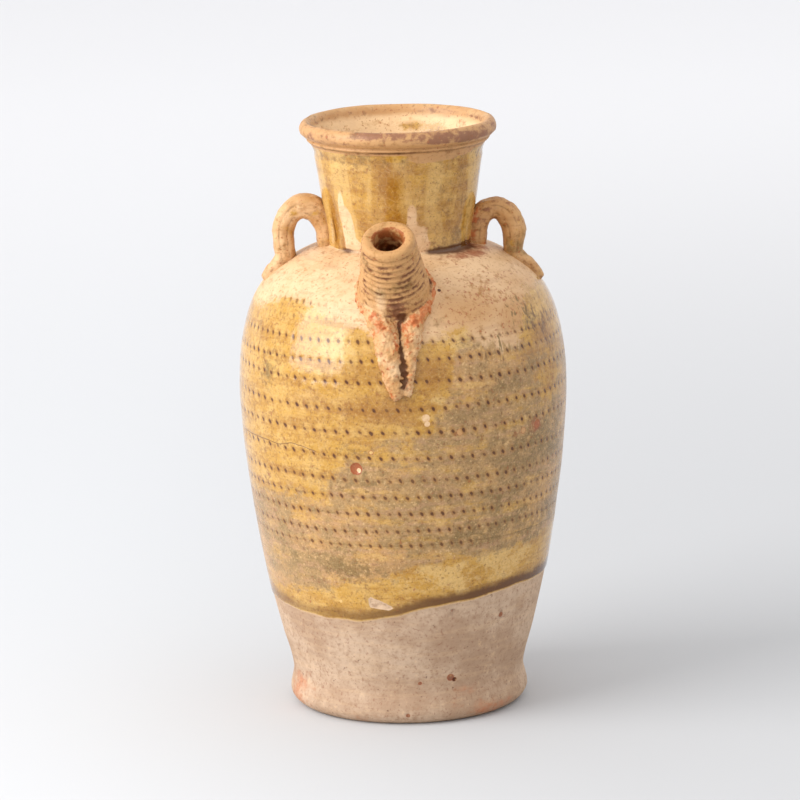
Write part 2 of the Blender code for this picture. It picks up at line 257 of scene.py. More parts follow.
dotRows = {
    # height, rise to the right, strength of the dots and of the scored line, dots in a turn, stretch at the
    # left and phase
    "rows": (
        (73, 0, 0.75, 0.60, 94, 1, 0.03),
        (78.5, 0.002, 0.85, 0.45, 93, 1, 0.33),
        (85.3, 0, 0.90, 0.40, 92, 0.2, 0.02),
        (91.9, 0.002, 0.90, 0.45, 91, 0.15, 0.34),
        (98.6, 0, 0.85, 0.25, 90, 0.9, 0.86),
        (107.2, -0.018, 0.95, 0.15, 88, 0.65, 0.49),
        (117.2, 0, 1, 0.12, 89, 0.8, 0.32),
        (125.9, 0, 1, 0.12, 89, 0.75, 0.98),
        (136, 0, 1, 0.15, 91, 0.8, 0.43),
        (143.7, 0.018, 1, 0.3, 92, 0.4, 0.23),
        (150.5, 0, 0.85, 0.3, 93, 0, 0.67),
        (157.8, 0, 0.35, 0.15, 92, 0, 0.2),
        (162.5, 0, 0.5, 0.1, 92, 0, 0.6),
    ),
    "usual": 90,
    "band": 2,          # half height kept at an even scale round each row
    "pit": 0.16,        # depth of a dot
    "score": 0.1,       # depth of a scored line
    "dotWide": 0.85,    # half width of a dot
    "dotTall": 0.6,     # half height
}

# The lower edge of the glaze, as turn from the front and height
glazeEdge = {
    "level": 46.6,
    "turns": (-160, -120, -76.6, -50.9, -37.6, -21.7, -5.3, 9.5, 24.3, 41.1, 56.1, 79.4, 120, 160),
    "heights": (46.0, 44.5, 43.2, 42.9, 41.8, 41.9, 44.5, 47.4, 49.2, 50.7, 51.3, 51.1, 49.5, 47.0),
    "step": 0.35,       # thickness of the glaze at its edge
    # how dark the glaze has pooled at its edge, by turn
    "pool": ((-180, -80, -40, -15, 5, 30, 80, 180), (0.8, 0.55, 0.5, 0.75, 0.9, 1, 1, 0.8)),
}

# The lower edge of the worn shoulder, as turn and height
wornEdge = {
    "turns": (-150, -110, -73, -56, -44, -28, -19, -8, 7, 16, 24, 29, 37, 44, 50, 57, 64, 76, 110, 150),
    "heights": (162, 160, 157, 163, 163.5, 158.5, 155.5, 152.5, 150.5, 152, 154, 149, 144.5, 144.5, 151,
                160, 163, 164, 160, 158),
}

# The weathered zone of the glaze lies between these two heights
weatheredZone = {
    "turns": (-180, -110, -80, -60, -45, -30, -20, -10, 0, 8, 14, 19, 28, 60, 80, 120, 150),
    "top": (104, 96, 88, 90, 92, 98, 107, 113, 112, 117, 126, 147, 152, 150, 146, 128, 112),
    "bottomTurns": (-180, -60, -30, -10, 5, 30, 60, 80, 120),
    "bottom": (60, 50, 54, 58, 64, 67, 69, 70, 66),
}


def edgeHeight(turn):
    wave = 0.25 * np.sin(np.radians(turn * 9 + 20)) + 0.15 * np.sin(np.radians(turn * 23))
    return np.interp(turn, glazeEdge["turns"], glazeEdge["heights"], period=360) + wave


def rowWarp(turn):
    # how far each row, and the glaze edge, lies from its own level at these turns
    x = np.sin(np.radians(turn)) * ewerForm["belly"][0]
    levels = [0.0, 16.0, glazeEdge["level"], 64.0]
    shifts = [0 * x, 0 * x, edgeHeight(turn) - glazeEdge["level"], 0 * x]
    for i, (level, rise, *_) in enumerate(dotRows["rows"]):
        hand = 0.22 * np.sin(np.radians(turn * (2 + i % 3) + 50 * i))
        levels.append(level)
        shifts.append(x * rise + hand + 0.1 * np.sin(np.radians(turn * 7 + 90 * i)))
    return np.array(levels + [168.0, ewerForm["neck"][1]]), np.array(shifts + [0 * x, 0 * x])


def bodyLevels():
    # heights of the mesh lines from the table to the neck, close together at the rows and the glaze edge
    edge = glazeEdge["level"]
    rows = sorted(row[0] for row in dotRows["rows"])
    near = 0.65
    fixed = [0.0, 1.0, 2.2, 3.4, 4.6, 6.4, 8.6, 10.6, 12.6]
    fixed += list(np.linspace(15.5, edge - 2.6, 10))
    fixed += [edge - 1.4, edge - 0.6, edge - 0.25, edge, edge + 0.4]
    fixed += [edge + 1.0 + 0.75 * i for i in range(9)] + list(np.linspace(edge + 9.5, rows[0] - 2.0, 7))
    fixed += [101.2 + 0.6 * i for i in range(8)]  # at the crater
    for level in rows:
        fixed += [level - near, level, level + near]
    for a, b in zip(rows, rows[1:]):
        count = max(1, round((b - a - 2 * near) / 3.0))
        fixed += list(np.linspace(a + near, b - near, count + 2)[1:-1])
    line = bodyLine[bodyLine[:, 1] > rows[-1] + near]
    run = np.concatenate([[0], np.cumsum(np.hypot(*np.diff(line, axis=0).T))])
    fixed += list(np.interp(np.linspace(run[2], run[-1], 20), run, line[:, 1]))
    return sorted(set(round(float(level), 4) for level in fixed))


# where the marks of each part of the surface start
surfaceMarks = {"body": 0, "neck": 1000, "lip": 2000, "roll": 2100, "inside": 3000, "under": 4000}


def ewerProfile():
    # the whole section as (radius, height, mark): the mark says which part of the surface a point is on
    form, marks = ewerForm, surfaceMarks
    profile = [(r, 0.0, marks["under"] + r) for r in (0.0, 20.0, 36.0)]
    profile += [(float(bodyRadius(level)), level, level) for level in bodyLevels()]
    joint = form["neck"][1]
    top = form["neckTop"]
    heights = [joint + 0.35, joint + 0.7, joint + 1.2] + list(np.linspace(joint + 2.2, top[1], 15))
    for z in heights:
        profile.append((float(np.interp(z, neckLine[:, 1], neckLine[:, 0])), float(z), marks["neck"] + z))
    middle = form["rimRadius"] - form["rimThick"] / 2
    lip = smoothCurve([top] + between(top, (middle, form["rimUnder"]), lipCurve), 2)[1:]
    profile += [(r, z, marks["lip"] + i) for i, (r, z) in enumerate(lip)]
    centre = (middle, form["top"] - form["rimTall"] / 2)
    roll = arc(centre, (form["rimThick"] / 2, form["rimTall"] / 2), -26, 170, 14)
    profile += [(r, z, marks["roll"] + i) for i, (r, z) in enumerate(roll)]
    inner = []
    for line, wall, step in ((bodyLine, form["bodyWall"], 18), (neckLine, form["neckWall"], 8)):
        slope = np.gradient(line, axis=0)
        slope /= np.hypot(*slope.T)[:, None]
        moved = line + np.stack([-slope[:, 1], slope[:, 0]], axis=1) * wall
        inner += [tuple(p) for p in moved[::step]]
    low = form["floor"] + form["floorCorner"]
    inner = [p for p in inner if low < p[1] < top[1]]
    turned = arc((inner[0][0] - form["floorCorner"], low), (form["floorCorner"],) * 2, -90, -10, 5)
    inner += between(inner[-1], roll[-1], [(step / 5, step / 5) for step in range(1, 5)])
    inner = [(0.0, form["floor"]), (18.0, form["floor"])] + turned + inner
    return profile + [(r, z, marks["inside"] + z) for r, z in reversed(inner)]


def makeBody():
    form = bmesh.new()
    mark = form.verts.layers.float.new("mark")
    previous = None
    for radius, height, value in ewerProfile():
        spot = form.verts.new((0.0, radius * mm, height * mm))  # the seam is at the back
        spot[mark] = value
        if previous:
            form.edges.new((previous, spot))
        previous = spot
    turnedRound(form, ewerForm["columns"])
    return meshOf(form, "ewerBody", 0.01)


def rowPattern(levels):
    # for each level: the nearest row, and the row coordinate, which is even in scale near a row
    rows = np.array([row[0] for row in dotRows["rows"]])
    nearest = np.abs(levels[:, None] - rows[None, :]).argmin(axis=1)
    knots, phases = [], []
    for i, level in enumerate(rows):
        knots += [level - dotRows["band"], level + dotRows["band"]]
        phases += [i - 0.4, i + 0.4]
    knots = [rows[0] - 12] + knots + [rows[-1] + 12]
    phases = [-0.5] + phases + [len(rows) - 0.5]
    return nearest, np.interp(levels, knots, phases)


def rowStrengths(turn, nearest):
    # strength of the dots and of the scored line: the lowest row and the top two fade out to the sides
    rows = np.array(dotRows["rows"])
    dots = rows[nearest, 2].copy()
    lines = rows[nearest, 3].copy()
    fade = smoothStep(turn, 24, 34) * (1 - smoothStep(turn, 110, 150))
    lowest = nearest == 0
    dots[lowest] *= 1 - 0.85 * fade[lowest]
    lines[lowest] *= 1 + 0.7 * fade[lowest]
    fading = ((1, dots, -44, 16), (1, lines, -38, 22), (2, dots, -40, 24), (2, lines, -35, 30))
    for back, values, middle, spread in fading:
        row = nearest == len(rows) - back
        values[row] *= bell(turn[row], middle, spread)
    return dots, lines


bodyMarks = {
    # turn, height, half width, half height, strength
    "olive": (
        (-55, 135.6, 4, 7, 0.7), (-17, 110, 9, 4, 0.6), (-9, 102, 10, 6, 0.5), (-14, 95.5, 11, 4, 0.6),
        (30, 143, 8, 7, 0.45), (33, 133, 13, 9, 0.4), (56, 152, 7, 4, 0.7), (58, 108, 22, 12, 0.75),
        (44, 90, 30, 9, 0.4), (56, 78, 20, 7, 0.7), (26, 76, 22, 4.5, 0.7), (4, 70, 12, 3, 0.3),
        (-22, 63, 17, 5, 0.85), (-48, 68, 10, 5, 0.5), (-45, 62, 12, 8, 0.25), (14, 157, 4, 6, 0.6),
        (-100, 118, 18, 14, 0.4), (-140, 84, 30, 10, 0.6), (160, 122, 26, 14, 0.4), (120, 88, 30, 10, 0.6),
    ),
    "deep": (
        (10, 138, 11, 9, 0.85), (-5, 126, 24, 7, 0.8), (20, 126, 12, 6, 0.6), (-30, 130, 14, 8, 0.4),
        (52, 141, 14, 4, 0.8), (62, 147, 11, 6, 1), (62, 130, 10, 8, 0.6), (64, 133, 7, 6, 0.6),
        (-60, 150, 10, 6, 0.5), (-2, 132, 6, 8, 0.9), (130, 140, 30, 12, 0.6), (-130, 140, 30, 12, 0.6),
    ),
    "kept": (
        # golden glaze left within the weathered zone
        (54, 141, 13, 4, 1), (74, 139, 6, 5, 1), (62, 150, 13, 7, 1.1), (63, 131, 12, 13, 1.2),
        (28, 129, 9, 3.5, 0.6), (0, 104, 5, 4, 0.5), (8, 98, 8, 5, 0.35), (-8, 108, 3, 3, 0.6),
        (-40, 84, 10, 4, 0.6), (-30, 92, 8, 5, 0.5), (-50, 60, 5, 3, 0.4), (-20, 56, 12, 2, 0.8),
        (6, 62, 14, 3, 0.8), (150, 96, 20, 8, 0.6), (-120, 80, 16, 6, 0.6),
    ),
    "pale": (
        (22, 150, 11, 8, 0.75), (-24, 149, 9, 9, 0.7), (14, 128, 7, 6, 0.4), (10, 112, 18, 6, 0.4),
        (7.5, 122.3, 3.5, 3.5, 0.75), (14, 60, 24, 7, 0.7), (40, 63, 20, 7, 0.7), (-20, 88, 24, 8, 0.4),
        (-60, 72, 18, 12, 0.6), (-40, 60, 18, 8, 0.6), (-30, 76, 14, 6, 0.4),
    ),
    "iron": (
        (53, 113.8, 5, 3.6, 0.9), (44, 113, 5, 2.6, 0.7), (18.7, 116.1, 5, 2.2, 0.55),
        (58, 126, 6, 3, 0.35),
    ),
    "rusty": (
        (-70, 7, 14, 11, 0.62), (-58, 14, 8, 8, 0.35), (40, 4, 22, 4.5, 0.5), (-20, 2.5, 20, 3, 0.35),
        (30, 12, 12, 5, 0.35), (150, 8, 22, 8, 0.6), (-130, 9, 20, 7, 0.5),
    ),
    "brushed": ((38, 146, 12, 6, 1.2), (55, 154, 11, 8, 1.6), (66, 150, 9, 9, 1.4), (150, 158, 40, 6, 0.6)),
    "specky": ((40, 164, 20, 9, 0.9), (150, 162, 40, 8, 0.6), (-30, 158, 14, 4, 0.4)),
    "crack": ((-80, -74.7, -57.5, -49.5, -43.2, -37.2, -32.6), (109, 109.4, 109.6, 109, 110.6, 109.8, 108.6)),
    "warm": (
        (50, 156, 16, 9, 1), (28, 160, 22, 9, 0.85), (60, 166, 16, 6, 0.6), (-100, 165, 20, 8, 0.4),
        (150, 164, 30, 9, 0.6),
    ),
    "chip": {"turn": -11.9, "height": 49.3, "depth": 0.6,
             "corners": ((-4.2, 3.4), (-3.4, -1.2), (3.9, -2.3), (6, -1.2), (1.4, 1.3))},
    "crater": (-17.2, 103.1, 2.15, 0.55),  # turn, height, radius, depth
    "pocks": (
        # turn, height, radius, colour, strength of the dark iron-red rim (iron colour and painted shade at
        # the pock's edge)
        # the crater is brick-red; the small cream pock within it is the painted lit side of its inner wall,
        # leaving its left side as painted shade
        (-17.2, 103.1, 2.2, "brick", 0.7), (-16.4, 102.5, 1, "cream", 0), (-11.6, 109.6, 0.85, "pale", 0.8),
        (-28, 49.8, 0.7, "pale", 0.1), (53.6, 114, 1.7, "brick", 0.4), (46, 113, 1.2, "tan", 0.4),
        (7.5, 122.5, 1.5, "cream", 0.1), (7.9, 120.3, 1.1, "cream", 0.1), (19.5, 116.3, 1.3, "tan", 0.3),
        (18.7, 45.6, 0.8, "mauve", 0.5), (43.7, 40.5, 1.2, "mauve", 0.4), (20.3, 17.9, 1.4, "mauve", 0.6),
        (22.4, 16.9, 1, "dark", 0.3), (5.2, 16.4, 0.8, "mauve", 0.6), (-0.9, 4.1, 0.8, "mauve", 0.5),
        (16.9, 167.6, 0.7, "dark", 0.2),
    ),
    "pits": (
        # turn, height, radius
        (18.7, 45.6, 0.9), (43.7, 40.5, 1.1), (20.3, 17.9, 0.7), (5.2, 16.4, 0.8), (-0.9, 4.1, 0.9),
        (-30, 30, 0.6), (-110, 24, 1), (95, 31, 0.9), (160, 20, 0.8), (16.9, 167.6, 0.5),
    ),
}

neckMarks = {
    # streaks where the glaze is worn away: turn, height, half width, half height, strength
    "bare": (
        (-44, 186, 3, 9, 1.5), (-48, 194, 2, 7, 1.2), (-40, 179, 4, 4, 1.4), (14, 182, 4.6, 6.5, 1.3),
        (9, 190, 2.6, 8, 0.9), (3, 180, 6, 4, 1.2), (19, 214.8, 7, 2.2, 1.2), (31, 215, 7, 1.9, 1.2),
        (46, 215.2, 7, 1.3, 1), (120, 184, 4, 8, 1.2), (-140, 182, 6, 7, 1.2), (175, 190, 3, 8, 1),
    ),
    "deep": (
        (-58, 190, 3.5, 14, 1), (-50, 181, 3, 6, 1), (-5, 205, 7, 8, 0.8), (-4, 190, 8, 7, 0.7),
        (-24, 188, 5, 6, 0.5), (44, 188, 10, 12, 0.4), (150, 196, 14, 12, 0.7), (-120, 196, 14, 12, 0.7),
    ),
    "olive": (
        (36, 198, 6, 12, 0.3), (58, 188, 6, 12, 0.35), (50, 206, 9, 4, 0.3),
    ),
    "reddish": ((44, 176.4, 9, 1.2, 0.9), (58, 176.2, 8, 1.6, 1), (72, 178, 6, 3, 1), (-66, 178, 4, 3, 0.4)),
    "redInside": ((134, 221.8, 4, 2.2, 1.2), (128, 219, 3, 2.5, 0.8), (-175, 218.6, 1.6, 1.4, 1)),
    "shade": (
        (34, 178.2, 6, 1, 1.5), (48, 178.2, 8, 1.1, 1.7), (64, 178.3, 6, 1.3, 1.7), (-47, 178.2, 5, 0.7, 1),
        (-62, 186, 0.8, 8, 0.7), (2, 131, 5, 4, 0.35), (150, 178.2, 20, 0.7, 0.8),
        (-140, 178.2, 12, 0.7, 0.8),
    ),
    "rimMauve": (
        (-61, 221, 4, 3, 0.8), (-38, 219.5, 5, 1.6, 0.6), (-15, 224.2, 8, 1.6, 1.2),
        (-2, 223.8, 8, 1.3, 1), (12, 223, 7, 1.9, 1), (25, 222, 8, 2.8, 1.3),
        (42, 221.6, 9, 3, 1.3), (60, 221, 9, 3, 1), (80, 221.5, 8, 3, 0.9),
        (110, 222, 14, 3, 0.6), (155, 222, 12, 3, 0.7), (-150, 222, 16, 3, 0.6), (-108, 221, 10, 3, 0.8),
    ),
    "amberInside": ((168, 217, 9, 3, 1), (150, 215.5, 7, 4.5, 1), (-150, 208, 6, 8, 0.8)),
}


def shapeBody(mesh):
    points = vertexValues(mesh, "co") / mm
    marks = np.empty(len(points), np.float32)
    mesh.attributes["mark"].data.foreach_get("value", marks)
    mesh.attributes.remove(mesh.attributes["mark"])
    part = np.searchsorted(list(surfaceMarks.values()), marks, side="right") - 1
    body, neck, lip, roll, inside, under = (part == i for i in range(len(surfaceMarks)))
    turn = turnOf(points)

    # the rows and the glaze edge wander a little, as pressed by hand
    level = np.where(body, marks, -50.0).astype(float)
    levels, shifts = rowWarp(turn[body])
    where = level[body]
    at = np.clip(np.searchsorted(levels, where, side="right") - 1, 0, len(levels) - 2)
    t = (where - levels[at]) / (levels[at + 1] - levels[at])
    pick = np.arange(len(where))
    z = points[:, 2].copy()
    z[body] = where + shifts[at, pick] * (1 - t) + shifts[at + 1, pick] * t
    radius = radiusOf(points)
    radius[body] = bodyRadius(z[body])
    angle = np.radians(turn)
    outward = np.stack([np.sin(angle), -np.cos(angle), 0 * angle], axis=1)
    flat = points.copy()
    points = outward * radius[:, None]
    points[:, 2] = z

    nearest, phase = rowPattern(level)
    dots, lines = rowStrengths(turn, nearest)
    rows = np.array(dotRows["rows"])[nearest]
    stretch = np.interp(turn, (-180, -80, -15, 180), (0, 1, 0, 0)) * rows[:, 5]
    stretch += np.interp(turn, (-180, -80), (1, 0)) * np.round(rows[:, 5])
    count = turn / 360 * rows[:, 4] + rows[:, 6] + stretch
    wholeTurn = rows[:, 4] - np.round(rows[:, 5])
    rise = z - edgeHeight(turn)

    def marked(places):
        return patches(turn, z, radius, places)

    def lump(size, seed=0.0):
        return lumps(points, size, seed)

    # worn shoulder: positive where the glaze is gone
    worn = (z - np.interp(turn, wornEdge["turns"], wornEdge["heights"], period=360)) / 6.0
    bare = np.where(body, np.clip(worn, -3, 1.5), -3.0)
    strips = marked(neckMarks["bare"])
    bare[neck] = -1.7 + 3.4 * strips[neck]
    bare[lip] = -1.2 + 3.2 * strips[lip]
    bare[lip & (z > 215.5)] = 0.9
    bare[roll] = 1.0
    bare[inside] = 1.2 - 1.8 * marked(neckMarks["amberInside"])[inside]
    zone = weatheredZone
    fromTop = (np.interp(turn, zone["turns"], zone["top"], period=360) - z) / 9
    fromBottom = (z - np.interp(turn, zone["bottomTurns"], zone["bottom"], period=360)) / 4
    weather = np.where(body, np.clip(np.minimum(fromTop, fromBottom), -1, 1), -1.0)
    weather -= 1.3 * marked(bodyMarks["kept"])

    # wall: a slight unevenness from throwing, always inwards
    wave = 0.12 + 0.12 * lumps(points * (0.25, 0.25, 1.0), 9.0) + 0.1 * lump(24, 3)
    sink = body * wave * smoothStep(z, 1, 8)
    sink[roll | lip] = (0.22 + 0.3 * lump(9, 5) + 0.12 * lump(3.5, 6))[roll | lip]
    rough = 0.05 * lump(1.6, 8) + 0.05 * lump(3.4, 9)
    sink += body * ((rise < 0) * (rough + 0.08) + (bare > 0.4) * 0.5 * rough)
    sink += body * glazeEdge["step"] * (1 - smoothStep(rise, -0.1, 0.5)) * smoothStep(z, 6, 20)

    # dots and scored lines
    across = ((count % 1) - 0.5) * 2 * math.pi * radius / dotRows["usual"]
    down = ((phase + 0.5) % 1 - 0.5) * 5.0
    slant = across + 0.25 * down
    dot = bell(slant, 0, dotRows["dotWide"]) * bell(down, 0, dotRows["dotTall"])
    sink += body * (dotRows["pit"] * dot * dots + dotRows["score"] * bell(down, 0, 0.4) * lines)

    # the chip at the glaze edge, the round crater and small pits
    chip = bodyMarks["chip"]
    chipRight = np.radians(turn - chip["turn"]) * radius
    chipUp = z - chip["height"]
    chipEdge = np.full(len(turn), 9.0)
    for a, b in zip(chip["corners"], chip["corners"][1:] + chip["corners"][:1]):
        side = ((b[0] - a[0]) * (chipUp - a[1]) - (b[1] - a[1]) * (chipRight - a[0])) / math.dist(a, b)
        chipEdge = np.minimum(chipEdge, side)
    chipEdge = np.where(body, chipEdge + 0.2 * lump(1.2, 12), -9.0)
    sink += chip["depth"] * smoothStep(chipEdge, -0.15, 0.4) * (0.8 + 0.4 * lump(2, 11))
    at, level, size, deepest = bodyMarks["crater"]
    far = np.hypot(np.radians(turn - at) * radius, z - level) / size
    sink += body * deepest * (1 - smoothStep(far, 0.7, 1.05))
    pitIn = np.zeros(len(turn))
    for at, level, size in bodyMarks["pits"]:
        far = np.hypot(np.radians(turn - at) * radius, z - level) / size
        pitIn = np.maximum(pitIn, body * bell(far, 0, 1))
    sink += 0.4 * pitIn

    # the sunk joint of neck and shoulder
    sink += (neck | body) * 0.25 * bell(z, ewerForm["neck"][1] + 0.4, 0.9)

    slope = np.gradient(bodyLine, axis=0)
    slope /= np.hypot(*slope.T)[:, None]
    up = np.where(body, np.interp(z, bodyLine[:, 1], -slope[:, 0]), 0.0)
    out = np.where(body, np.interp(z, bodyLine[:, 1], slope[:, 1]), 1.0)
    points -= outward * (sink * out)[:, None]
    points[:, 2] -= sink * up
    lower = roll & (radius < ewerForm["rimRadius"] - ewerForm["rimThick"] / 2)
    points[lower] += 1.6 * outward[lower] * sink[lower][:, None]  # the roll's inner side moves into the clay
    points[roll, 2] -= (0.15 + 0.25 * lump(14, 7))[roll] * smoothStep(z[roll], 219, 223)
    setPoints(mesh, np.where((inside | under)[:, None], flat, points))

    warm = marked(bodyMarks["warm"])
    warm[roll | lip] = 1.0
    warm[inside] = 0.15
    iron = np.maximum(body * marked(bodyMarks["iron"]), marked(neckMarks["reddish"]))
    iron[inside] = marked(neckMarks["redInside"])[inside]
    # painted shade in the groove under the rim's bead
    groove = lip * bell(z, 216.9, 0.55) * (0.45 + 0.5 * bell(turn, -3, 14))
    olive, deep = (marked(bodyMarks[name]) + marked(neckMarks[name]) for name in ("olive", "deep"))
    crack = z - np.interp(turn, *bodyMarks["crack"])
    giveMasks(
        mesh, bare=bare, weather=weather, brushed=marked(bodyMarks["brushed"]),
        drawn=(neck | lip) + 0.2 * body,
        edgeRise=np.where(body, rise, np.where(under, -20.0, 60.0)),
        pool=np.interp(turn, *glazeEdge["pool"]),
        olive=(body | neck) * olive + 0.3 * (roll | lip),
        deep=np.where(body | neck, deep, 0.2),
        pale=marked(bodyMarks["pale"]),
        rusty=body * marked(bodyMarks["rusty"]),
        warm=warm, iron=iron, specky=marked(bodyMarks["specky"]),
        mauve=roll * (0.2 + marked(neckMarks["rimMauve"])),
        # inner: the inside of the mouth and the roll's inner side, pale clay painted paler still for light
        # bounced into the mouth
        inner=inside + 0.5 * lower,
        # painted shade below the spout, in the groove under the rim and in the pits, and along the neck's
        # dark joint
        shade=np.maximum.reduce([marked(neckMarks["shade"]), groove, 0.8 * pitIn]),
        chip=np.maximum(chipEdge, -9.0),
        dots=body * dots * (1 - 0.45 * smoothStep(bare, 0.0, 0.6)),
        lines=body * lines,
        crack=np.where(body & (turn > -80) & (turn < -32), crack, 9.0),
    )

    # the rows' own map: dots along u, rows along v
    corners = np.empty(len(mesh.loops), np.int32)
    mesh.loops.foreach_get("vertex_index", corners)
    starts = np.empty(len(mesh.polygons), np.int32)
    mesh.polygons.foreach_get("loop_start", starts)
    u = count[corners]
    lengths = np.diff(np.append(starts, len(corners)))
    widest = np.repeat(np.maximum.reduceat(u, starts), lengths)
    u = np.where(widest - u > dotRows["usual"] / 2, u + wholeTurn[corners], u)
    rowMap = mesh.uv_layers.new(name="dotRows")
    rowMap.data.foreach_set("uv", np.stack([u, phase[corners]], axis=1).astype(np.float32).ravel())


# The spout: a tube with throwing rings on its seat on the shoulder, clay pressed round it and drawn down

spoutForm = {
    "seatRadius": 47.3,
    "seatTurn": 3.0,
    "turn": 8.0,
    "tilt": 55.5,
    "length": 26.6,
    "baseRadius": 13.4,
    "mouthRadius": 9.9,
    "bore": 5.5,
    "wallBore": 6.9,
    "root": 4.0,
    "lip": (1.9, 1.5),
    "firstRing": 3.2,
    "ringPitch": 2.4,
    "rings": 9,
    "ringDepth": 0.6,
    "sides": 96,
    "voxel": 0.33,
    "inWall": 3.6,      # how deep its clay may reach into the pot's wall
}
lutingForm = {"radius": 12.8, "half": 2.5, "sink": 2.5, "open": 44, "lean": 0.7, "fingerSink": 0.2,
              "webSink": 0.35, "webHalf": 2.4}

spoutMarks = {
    # turn round the tube, distance along it, half width, half height, strength
    "smear": ((-16, 5, 2.2, 7, 1), (-40, 0, 4, 3, 0.8)),
    # painted shade under the front of the tube, with a mauve tint
    "shadeUnderTube": ((9, 1, 3, 5.5, 1), (16, 6, 3, 2.5, 0.5)),
    "grey": ((-25, 9, 5, 3, 0.5), (20, 12, 6, 3, 0.4), (-60, 20, 6, 3, 0.4)),
}

# fingers of clay below the spout: offset to the right, depth below the seat, half width
leftFinger = ((-9.2, 4, 3.2), (-8, 6.5, 4), (-5.9, 9.8, 5.1), (-3.4, 14.4, 4.7), (-2.9, 18.5, 4.8),
              (-2.3, 23.3, 4.7), (-1.3, 28.2, 4.2), (-0.6, 32.5, 3.7), (0, 36.3, 2.9), (0.8, 38.6, 1.9))
rightFinger = ((11, 4, 2.8), (10, 6.5, 3.3), (6.9, 10.9, 3.9), (5.9, 15.6, 4), (5.5, 20.3, 3.2),
               (5, 24.6, 2.5), (4.6, 30.1, 2), (4.3, 34.4, 1.8), (3.4, 37.4, 1.5))
# the slit between them: depth below the seat, offset, half width of the dark
slit = ((8, 2, 2.8), (9.6, 1.6, 1.7), (12, 1.4, 0.7), (16, 1.7, 0.45), (21, 2.2, 0.6), (25.5, 2.8, 1.2),
        (31, 2.9, 1.4), (35, 2.6, 1), (37.5, 2.4, 0.5))


def seatPoint():
    turn = math.radians(spoutForm["seatTurn"])
    r = spoutForm["seatRadius"]
    return Vector((-r * math.sin(turn), -r * math.cos(turn), shoulderHeight(r))) * mm


def aimed(turn, tilt):
    level = math.cos(math.radians(tilt))
    side = math.radians(turn)
    return Vector((-math.sin(side) * level, -math.cos(side) * level, math.sin(math.radians(tilt))))


def onSeat(direction):
    return Matrix.Translation(seatPoint()) @ direction.to_track_quat("Z", "Y").to_matrix().to_4x4()


def spun(line, steps, place):
    # a closed line turned round Z and stood in its place
    form = bmesh.new()
    spots = [form.verts.new((r * mm, 0, z * mm)) for r, z in line]
    for a, b in zip(spots, spots[1:] + spots[:1]):
        form.edges.new((a, b))
    turnedRound(form, steps)
    bmesh.ops.transform(form, matrix=place, verts=form.verts)
    return meshOf(form, "turned", 0.001)


def sweptMesh(points, shares, section=None):
    # a tapering tube, or a strap of that section, through points in millimetres
    data = bpy.data.curves.new("sweep", "CURVE")
    data.dimensions = "3D"
    data.use_fill_caps = True
    data.twist_mode = "MINIMUM"
    if section:
        data.bevel_mode = "OBJECT"
        data.bevel_object = section
    else:
        data.bevel_depth = mm
        data.bevel_resolution = 5
    spline = data.splines.new("POLY")
    spline.points.add(len(points) - 1)
    for spot, place, share in zip(spline.points, points, shares):
        spot.co = (*(c * mm for c in place), 1)
        spot.radius = share
    made = newObject("sweep", data)
    form = bmesh.new()
    form.from_mesh(appliedMesh(made))
    bpy.data.objects.remove(made)
    return meshOf(form, "swept", 0.001)


def fusedMesh(name, meshes, voxel, rounds=2):
    # the forms pressed into one skin of clay
    form = bmesh.new()
    for mesh in meshes:
        form.from_mesh(mesh)
    joined = meshOf(form, name)
    made = newObject(name, joined)
    remesh = made.modifiers.new("Clay", "REMESH")
    remesh.mode = "VOXEL"
    remesh.voxel_size = voxel * mm
    fused = appliedMesh(made)
    bpy.data.objects.remove(made)
    bpy.data.meshes.remove(joined)
    form = bmesh.new()
    form.from_mesh(fused)
    for _ in range(rounds):
        bmesh.ops.smooth_vert(form, verts=form.verts, factor=0.5,
                              use_axis_x=True, use_axis_y=True, use_axis_z=True)
    bmesh.ops.recalc_face_normals(form, faces=form.faces)
    form.to_mesh(fused)
    form.free()
    return fused


def spoutRadius(along):
    spout = spoutForm
    taper = (spout["mouthRadius"] - spout["baseRadius"]) / spout["length"]
    return spout["baseRadius"] + taper * max(along, 0)


def spoutLine():
    # the tube's section: outer side with its rings, lip, and the bore
    spout = spoutForm
    wide, drop = spout["lip"]
    line = arc((spout["mouthRadius"] - wide, spout["length"] - drop), (wide, drop), 120, 0, 8)
    for ring in range(spout["rings"]):
        middle = spout["length"] - spout["firstRing"] - ring * spout["ringPitch"]
        for share in (0.5, 0.25, 0, -0.25, -0.5):
            depth = spout["ringDepth"] * (1 - (share / 0.5) ** 2)
            z = middle + share * 0.8 * spout["ringPitch"]
            line.append((spoutRadius(z) - depth, z))
    line += [(spout["baseRadius"], -spout["root"]), (spout["bore"], -spout["root"])]
    line += [(spout["bore"], spout["length"] - 1.6), (spout["bore"] + 0.5, spout["length"] - 0.5)]
    return line


def fingerMesh(path, sink):
    seat = seatPoint() / mm
    places, widths = [], []
    for offset, depth, half in smoothCurve(path, 4):
        height = shoulderHeight(spoutForm["seatRadius"]) - depth
        side = seat.x + offset
        radius = float(bodyRadius(height)) - sink * half
        places.append((side, -math.sqrt(radius * radius - side * side), height))
        widths.append(half)
    return sweptMesh(places, widths)


